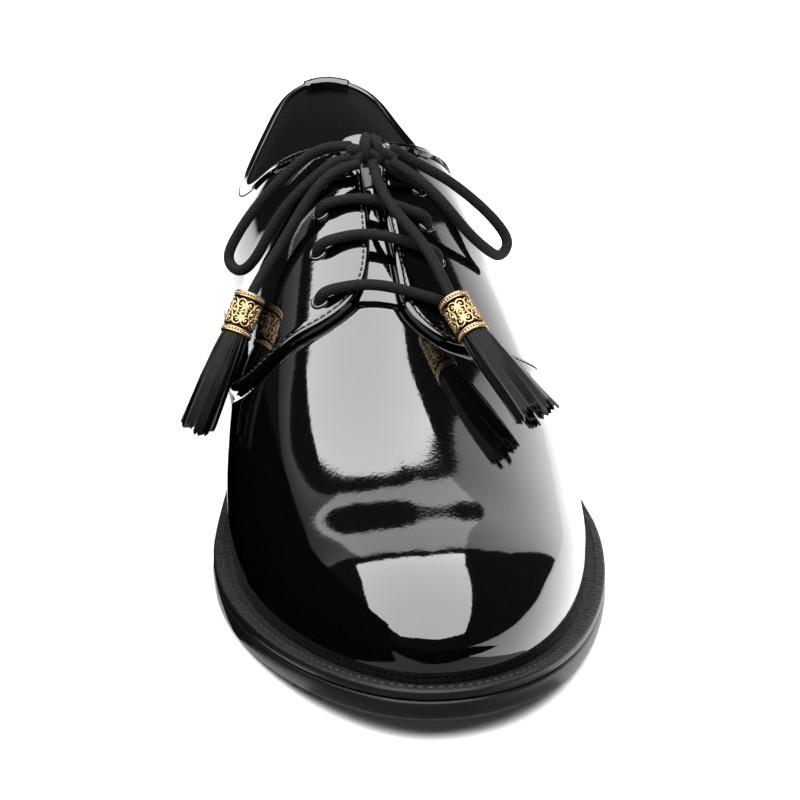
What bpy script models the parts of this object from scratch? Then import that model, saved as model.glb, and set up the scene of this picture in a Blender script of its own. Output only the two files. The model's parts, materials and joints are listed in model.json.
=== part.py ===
# Lace-up dress shoe with tasselled lace ends, left foot, about EU 42.
# Metres, Z up. The toe points to -Y and the outer (lateral) side of the foot is +X.
# The shoe stands empty on the floor at z = 0, on its heel and on the tread under the ball.
import math
import bpy
import bmesh
import numpy as np
from mathutils import Matrix, Vector

# Driving sizes
GAP = 0.0003
WALL = 0.0020
OUTSOLE_THICK = 0.0056
WELT_THICK = 0.0027
INSOLE_THICK = 0.0042
TONGUE_THICK = 0.0018
TOE_SPRING = 0.0060
SPRING_START = 0.088
ARCH_START = 0.118
ARCH_END = 0.232
HEEL_PITCH = 0.0215
SEAT_RISE = 0.0020
SEAT_LENGTH = 0.068
HEEL_BREAST = 0.228
HEEL_INSET = 0.0016
RING_INSET = 0.00215
FEATHER_LIFT = 0.0008
TOE_SETTLE = 0.035
RIDGE_SWING = 0.0010
CREST_TILT = 10
LACE_DIAMETER = 0.0030
EYELET_DIAMETER = 0.0036
FERRULE_DIAMETER = 0.0086
FERRULE_WALL = 0.0006
TASSEL_LENGTH = 0.0275
HEEL_DROP = 0.0100
EYELET_PUNCH = 0.0100
THROAT_PUNCH = 0.0400
KNOT_SLOPE = 27
CORD_STEP = 2.2 * LACE_DIAMETER

# Marks along the last, measured over the top from the toe
BALL_MARK = 0.110
BALL_EASE = 0.022
FACING_TOP = 0.195
HEEL_MARK = 0.346
SWING_START = 0.030
SWING_LENGTH = 0.080
CREST_START = 0.060
CREST_FULL = 0.125
CREST_FALL = 0.172
LATERAL = 1
MEDIAL = -1
SIDES = (LATERAL, MEDIAL)

# Counts of faces, and of the finer points that lines are measured on
ALONG_FACES = 46
RISE_FACES = 13
OUTLINE_FACES = 44
OUTLINE_POINTS = OUTLINE_FACES + 1
HEEL_POINTS = 20
ACROSS_FACES = 4
HEEL_FACES = 14
THROAT_FACES = 14
TONGUE_FACES = (22, 8)
EYELET_SEGMENTS = 12
KNOT_SEGMENTS = (16, 10)
FERRULE_SEGMENTS = 24
TASSEL_SEGMENTS = 20
FINE_POINTS = 240
RIB_POINTS = 161

# Small steps: across the face for its slope, along a rib for its slope, and between points that merge
FACE_STEP = 0.0001
RIB_STEP = 0.002
MERGE = 0.00002


def table(columns, rows):
    names = columns.split()
    values = np.array(rows, float)
    return {name: values[:, index] for index, name in enumerate(names)}


# Top line of the last: up the toe and over the vamp to the top of the facings
RIDGE = table("along station height", [
    (0.000, 0.0055, 0.0144), (0.008, 0.0051, 0.0227), (0.017, 0.0090, 0.0306),
    (0.030, 0.0192, 0.0378), (0.050, 0.0380, 0.0440), (0.075, 0.0625, 0.0512),
    (0.100, 0.0850, 0.0600), (0.125, 0.1070, 0.0712), (0.150, 0.1285, 0.0835),
    (0.175, 0.1500, 0.0955), (0.195, 0.1670, 0.1045)])

# Topline of the collar from the facings round to the back of the heel.
# lean is the slope of the wall at its edge and turn is how far it faces backwards, in degrees.
TOPLINE = {
    LATERAL: table("along station width height lean turn", [
        (0.206, 0.1700, 0.0098, 0.1028, 29, 0), (0.222, 0.1800, 0.0195, 0.0960, 52, 0),
        (0.240, 0.1955, 0.0240, 0.0850, 68, 0), (0.262, 0.2170, 0.0256, 0.0780, 75, 0),
        (0.288, 0.2430, 0.0236, 0.0768, 78, 6), (0.312, 0.2650, 0.0184, 0.0797, 80, 25),
        (0.332, 0.2830, 0.0109, 0.0840, 82, 62), (0.346, 0.2885, 0.0000, 0.0855, 82, 90)]),
    MEDIAL: table("along station width height lean turn", [
        (0.206, 0.1700, 0.0105, 0.1028, 27, 0), (0.222, 0.1800, 0.0218, 0.0960, 48, 0),
        (0.240, 0.1955, 0.0286, 0.0845, 64, 0), (0.262, 0.2170, 0.0306, 0.0768, 72, 0),
        (0.288, 0.2430, 0.0258, 0.0765, 78, 6), (0.312, 0.2650, 0.0190, 0.0800, 80, 25),
        (0.332, 0.2830, 0.0104, 0.0840, 82, 62), (0.346, 0.2885, 0.0000, 0.0855, 82, 90)])}

# Feather edge, where upper meets welt, from the ball back to the heel
FEATHER = {
    LATERAL: table("along station width", [
        (0.110, 0.1210, 0.0540), (0.140, 0.1375, 0.0522), (0.165, 0.1540, 0.0485),
        (0.195, 0.1760, 0.0428), (0.222, 0.1960, 0.0382), (0.250, 0.2180, 0.0345),
        (0.280, 0.2430, 0.0322), (0.306, 0.2650, 0.0290), (0.330, 0.2870, 0.0180),
        (0.346, 0.2960, 0.0000)]),
    MEDIAL: table("along station width", [
        (0.110, 0.0950, 0.0433), (0.140, 0.1155, 0.0424), (0.165, 0.1370, 0.0390),
        (0.195, 0.1630, 0.0335), (0.222, 0.1870, 0.0305), (0.250, 0.2120, 0.0302),
        (0.280, 0.2400, 0.0312), (0.306, 0.2640, 0.0290), (0.330, 0.2870, 0.0180),
        (0.346, 0.2960, 0.0000)])}

# Fullness of each rib of the last: its rise from the feather, the pull of its crown, its side bulge
FULLNESS = {
    LATERAL: table("along rise pull bulge", [
        (0.000, 0.47, 0.0308, 0.0000), (0.030, 0.50, 0.0313, 0.0005), (0.075, 0.52, 0.0310, 0.0015),
        (0.110, 0.50, 0.0300, 0.0025), (0.150, 0.44, 0.0285, 0.0030), (0.195, 0.40, 0.0250, 0.0025),
        (0.206, 0.37, 0.0226, 0.0025), (0.222, 0.35, 0.0205, 0.0025), (0.240, 0.35, 0.0180, 0.0030),
        (0.262, 0.36, 0.0160, 0.0035), (0.306, 0.38, 0.0163, 0.0050), (0.346, 0.38, 0.0170, 0.0045)]),
    MEDIAL: table("along rise pull bulge", [
        (0.000, 0.45, 0.0204, 0.0000), (0.030, 0.49, 0.0222, 0.0005), (0.075, 0.54, 0.0236, 0.0020),
        (0.110, 0.54, 0.0245, 0.0040), (0.150, 0.48, 0.0245, 0.0095), (0.195, 0.44, 0.0228, 0.0130),
        (0.206, 0.41, 0.0218, 0.0135), (0.222, 0.39, 0.0205, 0.0140), (0.240, 0.39, 0.0185, 0.0135),
        (0.262, 0.40, 0.0166, 0.0115), (0.306, 0.38, 0.0163, 0.0055), (0.346, 0.38, 0.0170, 0.0045)])}

# Ledge of welt and sole outside the feather edge
LEDGE = table("station ledge", [
    (0.000, 0.0050), (0.110, 0.0048), (0.170, 0.0036), (0.210, 0.0029), (0.300, 0.0027)])

# Half of the gap between the two facings
THROAT = table("along half_gap", [
    (0.131, 0.0052), (0.139, 0.0050), (0.147, 0.0041), (0.160, 0.0028),
    (0.170, 0.0021), (0.195, 0.0018), (0.215, 0.0018)])

# Eyelet rows from the toe up
EYELETS = table("medial_along lateral_along across", [
    (0.1405, 0.1375, 0.0180), (0.1582, 0.1565, 0.0172),
    (0.1720, 0.1690, 0.0152), (0.1845, 0.1820, 0.0142)])

# Tongue: half width and distance under the wall; past its bend mark it runs on straight
TONGUE_BEND = 0.190
TONGUE_WAY = (0.0, 0.884, 0.468)
TONGUE = table("along half_width inset", [
    (0.1240, 0.0120, 0.0005), (0.1400, 0.0150, 0.0005), (0.1650, 0.0165, 0.0005),
    (0.1800, 0.0160, 0.0013), (0.1900, 0.0150, 0.0026), (0.1980, 0.0135, 0.0032),
    (0.2025, 0.0100, 0.0034), (0.2040, 0.0065, 0.0034)])

# Lace routes: across, station along the sole and height
KNOT_PLACE = (-0.0008, 0.1564, 0.1061)
KNOT_RADII = (0.0050, 0.0042, 0.0040)
LOOP_MEDIAL = table("across station height", [
    (-0.0066, 0.1578, 0.1066), (-0.0135, 0.1620, 0.1046), (-0.0228, 0.1640, 0.0975),
    (-0.0314, 0.1645, 0.0877), (-0.0376, 0.1645, 0.0781), (-0.0393, 0.1630, 0.0725),
    (-0.0373, 0.1598, 0.0708), (-0.0339, 0.1565, 0.0736), (-0.0306, 0.1550, 0.0796),
    (-0.0247, 0.1552, 0.0899), (-0.0168, 0.1560, 0.0981), (-0.0099, 0.1562, 0.1029),
    (-0.0064, 0.1554, 0.1042)])
LOOP_LATERAL = table("across station height", [
    (0.0048, 0.1582, 0.1058), (0.0114, 0.1585, 0.1015), (0.0208, 0.1600, 0.0955),
    (0.0291, 0.1605, 0.0886), (0.0352, 0.1605, 0.0821), (0.0377, 0.1590, 0.0771),
    (0.0357, 0.1555, 0.0751), (0.0317, 0.1510, 0.0776), (0.0235, 0.1458, 0.0866),
    (0.0168, 0.1470, 0.0946), (0.0100, 0.1498, 0.1003), (0.0045, 0.1535, 0.1032)])
END_MEDIAL = table("across station height", [
    (-0.0046, 0.1522, 0.1033), (-0.0111, 0.1507, 0.1017), (-0.0190, 0.1472, 0.0949),
    (-0.0270, 0.1430, 0.0831), (-0.0322, 0.1401, 0.0759), (-0.0355, 0.1370, 0.0713)])
END_LATERAL = table("across station height", [
    (-0.0010, 0.1524, 0.1036), (0.0019, 0.1404, 0.0966), (0.0082, 0.1316, 0.0901),
    (0.0131, 0.1233, 0.0838), (0.0153, 0.1178, 0.0797), (0.0168, 0.1140, 0.0769)])

# Where each ferrule starts and stops, where the middle of its fringe ends and which way it spreads
FERRULES = {
    "medial": {"top": (-0.0355, 0.1370, 0.0713), "foot": (-0.0402, 0.1314, 0.0620),
               "tips": (-0.0512, 0.1281, 0.0370), "spread": (0.10, 1.00, 0.00)},
    "lateral": {"top": (0.0168, 0.1140, 0.0769), "foot": (0.0216, 0.1050, 0.0698),
                "tips": (0.0362, 0.0895, 0.0535), "spread": (0.58, 0.77, -0.21)}}
TASSEL = table("distance half_width half_depth", [
    (-0.0060, 0.0033, 0.0033), (0.0000, 0.0033, 0.0033), (0.0040, 0.0042, 0.0038),
    (0.0130, 0.0062, 0.0042), (TASSEL_LENGTH, 0.0088, 0.0045)])


# Curves through table columns
def spline(marks, values):
    marks = np.asarray(marks, float)
    values = np.asarray(values, float)
    count = len(marks)
    step = np.diff(marks)
    system = np.zeros((count, count))
    right = np.zeros(count)
    system[0, 0] = 1
    system[-1, -1] = 1
    for row in range(1, count - 1):
        system[row, row - 1] = step[row - 1]
        system[row, row] = 2 * (step[row - 1] + step[row])
        system[row, row + 1] = step[row]
        after = (values[row + 1] - values[row]) / step[row]
        before = (values[row] - values[row - 1]) / step[row - 1]
        right[row] = 6 * (after - before)
    bend = np.linalg.solve(system, right)

    def curve(mark):
        mark = np.asarray(mark, float)
        k = np.clip(np.searchsorted(marks, mark) - 1, 0, count - 2)
        left = marks[k + 1] - mark
        past = mark - marks[k]
        wide = step[k]
        cubic = (bend[k] * left ** 3 + bend[k + 1] * past ** 3) / (6 * wide)
        start = (values[k] / wide - bend[k] * wide / 6) * left
        stop = (values[k + 1] / wide - bend[k + 1] * wide / 6) * past
        return cubic + start + stop

    return curve


def smooth(value):
    value = np.clip(value, 0, 1)
    return value * value * (3 - 2 * value)


# Underside of the sole and the height of the feather edge above it
def underside(station):
    station = np.asarray(station, float)
    toe = TOE_SPRING * np.clip(1 - station / SPRING_START, 0, 1) ** 2
    arch = HEEL_PITCH * smooth((station - ARCH_START) / (ARCH_END - ARCH_START))
    seat = SEAT_RISE * np.clip((station - ARCH_END) / SEAT_LENGTH, 0, 1)
    return toe + arch + seat


def feather_height(station):
    return underside(station) + OUTSOLE_THICK + WELT_THICK + FEATHER_LIFT


# Rows repeated past the seam at the back of the heel, so that both sides meet in a round curve
def past_heel(marks, values, sign):
    extra_marks = 2 * HEEL_MARK - marks[-2:-4:-1]
    extra_values = sign * values[-2:-4:-1] + (1 - sign) * values[-1]
    return np.concatenate([marks, extra_marks]), np.concatenate([values, extra_values])


# Where a rib starts on the feather edge: toe ribs crowd at the ball, later ones move back
def foot_mark(along):
    def eased(distance):
        return (distance + np.sqrt(distance ** 2 + BALL_EASE ** 2)) / 2
    length = HEEL_MARK - BALL_MARK
    return BALL_MARK + length * eased(np.asarray(along, float) - BALL_MARK) / eased(length)


# Slope of the instep across its top, in degrees: its crest lies towards the inner side of the foot
def crest_tilt(along):
    grown = smooth((along - CREST_START) / (CREST_FULL - CREST_START))
    return CREST_TILT * grown * (1 - smooth((along - CREST_FALL) / (FACING_TOP - CREST_FALL)))


RIDGE_STATION = spline(RIDGE["along"], RIDGE["station"])
RIDGE_HEIGHT = spline(RIDGE["along"], RIDGE["height"])


# Outer face of the upper: ribs from the feather edge to the ridge or the topline.
# The ribs ahead of the ball fan out and make the toe.
def make_side(side):
    top = TOPLINE[side]
    swing = -RIDGE_SWING * side
    marks = np.concatenate([[FACING_TOP], top["along"]])
    late_station = np.concatenate([RIDGE["station"][-1:], top["station"]])
    late_height = np.concatenate([RIDGE["height"][-1:], top["height"]])
    end_station = spline(*past_heel(marks, late_station, 1))
    end_height = spline(*past_heel(marks, late_height, 1))
    end_width = spline(*past_heel(marks, np.concatenate([[swing], top["width"]]), -1))
    end_lean = spline(marks, np.concatenate([[0], top["lean"]]))
    end_turn = spline(*past_heel(marks, np.concatenate([[0], top["turn"]]), -1))
    base_station = spline(*past_heel(FEATHER[side]["along"], FEATHER[side]["station"], 1))
    base_width = spline(*past_heel(FEATHER[side]["along"], FEATHER[side]["width"], -1))
    rise = spline(FULLNESS[side]["along"], FULLNESS[side]["rise"])
    crown = spline(FULLNESS[side]["along"], FULLNESS[side]["pull"])
    bulge = spline(FULLNESS[side]["along"], FULLNESS[side]["bulge"])

    def rib(along, height):
        along, height = np.broadcast_arrays(np.asarray(along, float), np.asarray(height, float))
        foot = foot_mark(along)
        station = base_station(foot)
        base = np.stack([side * base_width(foot), station, feather_height(station)], -1)
        late = along > FACING_TOP
        ahead = np.minimum(along, FACING_TOP)
        beyond = np.maximum(along, FACING_TOP)
        ridge_x = -RIDGE_SWING * smooth((along - SWING_START) / SWING_LENGTH)
        end_x = np.where(late, side * end_width(beyond), ridge_x)
        end_y = np.where(late, end_station(beyond), RIDGE_STATION(ahead))
        end_z = np.where(late, end_height(beyond), RIDGE_HEIGHT(ahead))
        end = np.stack([end_x, end_y, end_z], -1)
        lean = np.radians(np.where(late, end_lean(beyond), side * crest_tilt(along)))[..., None]
        turn = np.radians(np.where(late, end_turn(beyond), 0))
        inward = np.stack([-side * np.cos(turn), -np.sin(turn), 0 * turn], -1)
        span = end - base
        reach = (span * inward).sum(-1, keepdims=True)
        climb = span - reach * inward
        climb_length = np.linalg.norm(climb, axis=-1, keepdims=True)
        climb_way = climb / np.maximum(climb_length, 1e-9)
        first = base + rise(along)[..., None] * climb - bulge(along)[..., None] * inward
        way = np.cos(lean) * inward + np.sin(lean) * climb_way
        second = end - crown(along)[..., None] * way
        w = height[..., None]
        return ((1 - w) ** 3 * base + 3 * (1 - w) ** 2 * w * first
                + 3 * (1 - w) * w * w * second + w ** 3 * end)

    # The lowest ribs of the toe settle onto the curve of the welt
    def face(along, height):
        points = rib(along, height)
        lowest = rib(0 * np.asarray(along, float), height)
        settle = feather_height(lowest[..., 1]) - lowest[..., 2]
        share = smooth(1 - np.asarray(along, float) / TOE_SETTLE)
        points[..., 2] += settle * share
        return points

    return face


LAST = {side: make_side(side) for side in SIDES}


def outward(side, along, height):
    face = LAST[side]
    low = np.clip(np.asarray(along, float) - FACE_STEP, 0, HEEL_MARK)
    high = np.clip(np.asarray(along, float) + FACE_STEP, 0, HEEL_MARK)
    over = face(high, height) - face(low, height)
    below = np.clip(np.asarray(height, float) - RIB_STEP, 0, 1)
    above = np.clip(np.asarray(height, float) + RIB_STEP, 0, 1)
    rib = face(along, above) - face(along, below)
    normal = side * np.cross(over, rib)
    return normal / np.maximum(np.linalg.norm(normal, axis=-1, keepdims=True), 1e-12)


def rib_height(side, along, distance):
    heights = np.linspace(1, 0, RIB_POINTS)
    points = LAST[side](np.full(RIB_POINTS, along), heights)
    steps = np.linalg.norm(np.diff(points, axis=0), axis=1)
    travelled = np.concatenate([[0], np.cumsum(steps)])
    return float(np.interp(distance, travelled, heights))


# A place on the leather: mark along the ridge, signed distance across from it, lift above it
def on_leather(along, across, lift):
    side = LATERAL if across >= 0 else MEDIAL
    height = rib_height(side, along, abs(across))
    return LAST[side](along, height) + lift * outward(side, along, height)


# Outlines of the sole, from the back of the heel to the toe, one for each side
def even(points, count):
    steps = np.linalg.norm(np.diff(points[:, :2], axis=0), axis=1)
    travelled = np.concatenate([[0], np.cumsum(steps)])
    marks = np.linspace(0, travelled[-1], count)
    return np.stack([np.interp(marks, travelled, points[:, axis]) for axis in (0, 1)], -1)


def feather_outline(side, count):
    along = np.linspace(HEEL_MARK, 0, FINE_POINTS)
    back = LAST[side](along, 0 * along)
    height = np.linspace(0, 1, FINE_POINTS)[1:]
    toe = LAST[side](0 * height, height)
    return even(np.concatenate([back, toe]), count)


def offset_outline(side, count, distance):
    points = feather_outline(side, count)
    mirrored = points * np.array([-1, 1])
    padded = np.concatenate([mirrored[1:2], points, mirrored[-2:-1]])
    way = padded[2:] - padded[:-2]
    normal = side * np.stack([-way[:, 1], way[:, 0]], -1)
    normal = normal / np.linalg.norm(normal, axis=1, keepdims=True)
    moved = points + normal * np.broadcast_to(distance, count)[:, None]
    moved[0, 0] = 0
    moved[-1, 0] = 0
    return moved


def ledge(station):
    return np.interp(station, LEDGE["station"], LEDGE["ledge"])


def sole_outline(side, count):
    return offset_outline(side, count, ledge(feather_outline(side, count)[:, 1]))


# The origin is under the middle of the sole's box
SOLE_EDGE = np.concatenate([sole_outline(side, FINE_POINTS) for side in SIDES])
MIDDLE_X = (SOLE_EDGE[:, 0].min() + SOLE_EDGE[:, 0].max()) / 2
MIDDLE_Y = (SOLE_EDGE[:, 1].min() + SOLE_EDGE[:, 1].max()) / 2


def to_frame(points):
    return np.asarray(points, float) - np.array([MIDDLE_X, MIDDLE_Y, 0])


# Scene and materials
for old in list(bpy.data.objects):
    bpy.data.objects.remove(old)
parts = bpy.data.collections.new("tassel_lace_up_shoe")
cutters = bpy.data.collections.new("cutters")
bpy.context.scene.collection.children.link(parts)
bpy.context.scene.collection.children.link(cutters)

# Colour and roughness of each material
FINISHES = {
    "patent_leather": ((0.010, 0.010, 0.011), 0.06, 0.0),
    "lining_leather": ((0.020, 0.020, 0.021), 0.70, 0.0),
    "welt_leather": ((0.030, 0.030, 0.032), 0.55, 0.0),
    "sole_rubber": ((0.014, 0.014, 0.015), 0.40, 0.0),
    "lace_cord": ((0.035, 0.035, 0.037), 0.75, 0.0),
    "pale_gold": ((0.780, 0.610, 0.330), 0.25, 1.0),
    "fringe_leather": ((0.015, 0.015, 0.016), 0.45, 0.0)}


def finish(item, kind):
    colour, roughness, metallic = FINISHES[kind]
    material = bpy.data.materials.new(item.name + "_" + kind)
    material.use_nodes = True
    shader = material.node_tree.nodes["Principled BSDF"]
    shader.inputs["Base Color"].default_value = (*colour, 1.0)
    shader.inputs["Roughness"].default_value = roughness
    shader.inputs["Metallic"].default_value = metallic
    item.data.materials.append(material)


def add_part(name, mesh_edit, kind):
    mesh = bpy.data.meshes.new(name)
    mesh_edit.to_mesh(mesh)
    mesh_edit.free()
    item = bpy.data.objects.new(name, mesh)
    parts.objects.link(item)
    finish(item, kind)
    return item


def add_cutter(name, mesh_edit):
    mesh = bpy.data.meshes.new(name)
    mesh_edit.to_mesh(mesh)
    mesh_edit.free()
    item = bpy.data.objects.new(name, mesh)
    cutters.objects.link(item)
    item.hide_render = True
    item.display_type = "WIRE"
    return item


def cut_away(item, cutter):
    step = item.modifiers.new(cutter.name, "BOOLEAN")
    step.operation = "DIFFERENCE"
    step.solver = "EXACT"
    step.object = cutter


# A flat grid laid onto a form given by a function of two shares from 0 to 1
def lay_grid(mesh_edit, first_faces, second_faces, form):
    made = bmesh.ops.create_grid(mesh_edit, x_segments=first_faces, y_segments=second_faces, size=0.5)
    verts = made["verts"]
    first = np.array([vert.co.x + 0.5 for vert in verts])
    second = np.array([vert.co.y + 0.5 for vert in verts])
    places = to_frame(form(first, second))
    for vert, place in zip(verts, places):
        vert.co = place


def close_seams(mesh_edit):
    bmesh.ops.remove_doubles(mesh_edit, verts=mesh_edit.verts, dist=MERGE)
    bmesh.ops.dissolve_degenerate(mesh_edit, edges=mesh_edit.edges, dist=MERGE / 2)
    bmesh.ops.recalc_face_normals(mesh_edit, faces=mesh_edit.faces)


# Sheets between the two outlines, thickened straight up
def raise_sheet(mesh_edit, thickness):
    grown = bmesh.ops.extrude_face_region(mesh_edit, geom=list(mesh_edit.faces))
    top = [item for item in grown["geom"] if isinstance(item, bmesh.types.BMVert)]
    bmesh.ops.translate(mesh_edit, verts=top, vec=(0, 0, thickness))
    bmesh.ops.recalc_face_normals(mesh_edit, faces=mesh_edit.faces)
    return top


def sheet_form(outlines, lift):
    def form(first, second):
        index = np.rint(first * OUTLINE_FACES).astype(int)
        inner = outlines[MEDIAL][index]
        outer = outlines[LATERAL][index]
        flat = inner + (outer - inner) * second[:, None]
        return np.column_stack([flat, underside(flat[:, 1]) + lift])

    return form


def sole_sheet(name, outlines, lift, thickness, kind):
    mesh_edit = bmesh.new()
    lay_grid(mesh_edit, OUTLINE_FACES, ACROSS_FACES, sheet_form(outlines, lift))
    close_seams(mesh_edit)
    raise_sheet(mesh_edit, thickness)
    add_part(name, mesh_edit, kind)


sole_edges = {side: sole_outline(side, OUTLINE_POINTS) for side in SIDES}
ring_edges = {side: offset_outline(side, OUTLINE_POINTS, -RING_INSET) for side in SIDES}
insole_edges = {side: offset_outline(side, OUTLINE_POINTS, -RING_INSET - 1.5 * GAP) for side in SIDES}

# Outsole and insole
sole_sheet("outsole", sole_edges, 0.0, OUTSOLE_THICK, "sole_rubber")
sole_sheet("insole", insole_edges, OUTSOLE_THICK + GAP, INSOLE_THICK, "lining_leather")

# Welt: a ring all the way round between the sole's edge and the insole
welt_edit = bmesh.new()
for side in SIDES:
    half = {MEDIAL: ring_edges[side], LATERAL: sole_edges[side]}
    lay_grid(welt_edit, OUTLINE_FACES, 1, sheet_form(half, OUTSOLE_THICK + GAP))
close_seams(welt_edit)
raise_sheet(welt_edit, WELT_THICK)
add_part("welt", welt_edit, "welt_leather")


# Heel block under the seat, tapered a little towards the floor
def heel_form(first, second):
    back = min(sole_edges[side][0, 1] for side in SIDES)
    station = HEEL_BREAST + (back - HEEL_BREAST) * np.sin(first * math.pi / 2)
    seat = {side: sole_edges[side][:HEEL_POINTS] for side in SIDES}
    inner = np.interp(-station, -seat[MEDIAL][:, 1], seat[MEDIAL][:, 0])
    outer = np.interp(-station, -seat[LATERAL][:, 1], seat[LATERAL][:, 0])
    across = inner + (outer - inner) * second
    return np.column_stack([across, station, underside(station) - GAP])


heel_edit = bmesh.new()
lay_grid(heel_edit, HEEL_FACES, ACROSS_FACES, heel_form)
close_seams(heel_edit)
floor_verts = raise_sheet(heel_edit, -HEEL_DROP)
heel_width = max(vert.co.x for vert in floor_verts) - min(vert.co.x for vert in floor_verts)
heel_front = HEEL_BREAST - MIDDLE_Y
heel_length = max(vert.co.y for vert in floor_verts) - heel_front
for vert in floor_verts:
    vert.co.x = -MIDDLE_X + (vert.co.x + MIDDLE_X) * (1 - 2 * HEEL_INSET / heel_width)
    vert.co.y = heel_front + (vert.co.y - heel_front) * (1 - HEEL_INSET / heel_length)
    vert.co.z = 0.0
bmesh.ops.recalc_face_normals(heel_edit, faces=heel_edit.faces)
add_part("heel", heel_edit, "sole_rubber")

# Upper: both sides of the last in one sheet, then a wall of leather grown inwards
upper_edit = bmesh.new()
for side in SIDES:
    lay_grid(upper_edit, ALONG_FACES, RISE_FACES,
             lambda first, second, side=side: LAST[side](first * HEEL_MARK, second))
close_seams(upper_edit)
upper_edit.faces.ensure_lookup_table()
highest = max(upper_edit.faces, key=lambda face: face.calc_center_median().z)
if highest.normal.z < 0:
    bmesh.ops.reverse_faces(upper_edit, faces=upper_edit.faces)
upper = add_part("upper", upper_edit, "patent_leather")
shell = upper.modifiers.new("wall", "SOLIDIFY")
shell.thickness = WALL
shell.offset = -1
shell.use_even_offset = True
shell.use_rim = True


# Throat between the facings, open to the collar
def throat_form(first, second):
    along = THROAT["along"][0] + first * (THROAT["along"][-1] - THROAT["along"][0])
    half_gap = np.interp(along, THROAT["along"], THROAT["half_gap"])
    inside = np.minimum(along, FACING_TOP)
    station = RIDGE_STATION(inside) + (along - inside)
    across = -RIDGE_SWING + (2 * second - 1) * half_gap
    return np.column_stack([across, station, RIDGE_HEIGHT(inside) - THROAT_PUNCH / 2])


throat_edit = bmesh.new()
lay_grid(throat_edit, THROAT_FACES, 1, throat_form)
raise_sheet(throat_edit, THROAT_PUNCH)
cut_away(upper, add_cutter("throat_cutter", throat_edit))

# Punched eyelets in both facings
eyelet_edit = bmesh.new()
for row in range(len(EYELETS["across"])):
    for side, column in ((LATERAL, "lateral_along"), (MEDIAL, "medial_along")):
        along = EYELETS[column][row]
        across = side * EYELETS["across"][row]
        place = Vector(to_frame(on_leather(along, across, 0)))
        axis = Vector(outward(side, along, rib_height(side, along, abs(across))))
        turn = axis.to_track_quat("Z", "Y").to_matrix().to_4x4()
        bmesh.ops.create_cone(eyelet_edit, cap_ends=True, segments=EYELET_SEGMENTS, depth=EYELET_PUNCH,
                              radius1=EYELET_DIAMETER / 2, radius2=EYELET_DIAMETER / 2,
                              matrix=Matrix.Translation(place) @ turn)
cut_away(upper, add_cutter("eyelet_cutter", eyelet_edit))


# Tongue: follows the inside of the upper under the facings and stands above them
def tongue_form(first, second):
    start = TONGUE["along"][0]
    marks = start + first * (TONGUE["along"][-1] - start)
    places = []
    for mark, share in zip(marks, 2 * second - 1):
        half_width = float(np.interp(mark, TONGUE["along"], TONGUE["half_width"]))
        bent = min(mark, TONGUE_BEND)
        inset = float(np.interp(mark, TONGUE["along"], TONGUE["inset"]))
        inside = on_leather(bent, share * half_width, -WALL - inset)
        places.append(inside + (mark - bent) * np.array(TONGUE_WAY))
    return np.array(places)


tongue_edit = bmesh.new()
lay_grid(tongue_edit, *TONGUE_FACES, tongue_form)
close_seams(tongue_edit)
if sum(face.normal.z for face in tongue_edit.faces) < 0:
    bmesh.ops.reverse_faces(tongue_edit, faces=tongue_edit.faces)
tongue = add_part("tongue", tongue_edit, "patent_leather")
tongue_shell = tongue.modifiers.new("thickness", "SOLIDIFY")
tongue_shell.thickness = TONGUE_THICK
tongue_shell.offset = -1
tongue_shell.use_even_offset = True


# Round cord along a smooth curve through its route
def cord_points(places, spacing):
    places = np.asarray(places, float)
    steps = np.linalg.norm(np.diff(places, axis=0), axis=1)
    travelled = np.concatenate([[0], np.cumsum(steps)])
    curves = [spline(travelled, places[:, axis]) for axis in range(3)]
    count = max(4, int(round(travelled[-1] / spacing)) + 1)
    marks = np.linspace(0, travelled[-1], count)
    return np.stack([curve(marks) for curve in curves], -1)


def add_cord(name, places):
    points = to_frame(cord_points(places, CORD_STEP))
    curve = bpy.data.curves.new(name + "_route", "CURVE")
    curve.dimensions = "3D"
    curve.bevel_depth = LACE_DIAMETER / 2
    curve.bevel_resolution = 2
    curve.use_fill_caps = True
    route = curve.splines.new("POLY")
    route.points.add(len(points) - 1)
    for spot, point in zip(route.points, points):
        spot.co = (*point, 1)
    guide = bpy.data.objects.new(name + "_guide", curve)
    bpy.context.scene.collection.objects.link(guide)
    mesh = bpy.data.meshes.new_from_object(guide)
    bpy.data.objects.remove(guide)
    bpy.data.curves.remove(curve)
    tube = bmesh.new()
    tube.from_mesh(mesh)
    bpy.data.meshes.remove(mesh)
    bmesh.ops.remove_doubles(tube, verts=tube.verts, dist=MERGE)
    bmesh.ops.recalc_face_normals(tube, faces=tube.faces)
    add_part(name, tube, "lace_cord")


def route_of(columns):
    return np.stack([columns["across"], columns["station"], columns["height"]], -1)


# Straight lace bars over the three open rows of eyelets
BAR_LIFT = LACE_DIAMETER / 2 + 1.5 * GAP
BAR_ROWS = 3
BAR_SHARES = (-1.0, -0.66, -0.33, 0.0, 0.33, 0.66, 1.0)
for row in range(BAR_ROWS):
    middle = (EYELETS["medial_along"][row] + EYELETS["lateral_along"][row]) / 2
    slant = (EYELETS["lateral_along"][row] - EYELETS["medial_along"][row]) / 2
    width = EYELETS["across"][row]
    bar = [on_leather(middle + slant * share, width * share, BAR_LIFT) for share in BAR_SHARES]
    add_cord("lace_bar_" + str(row + 1), bar)

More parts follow.
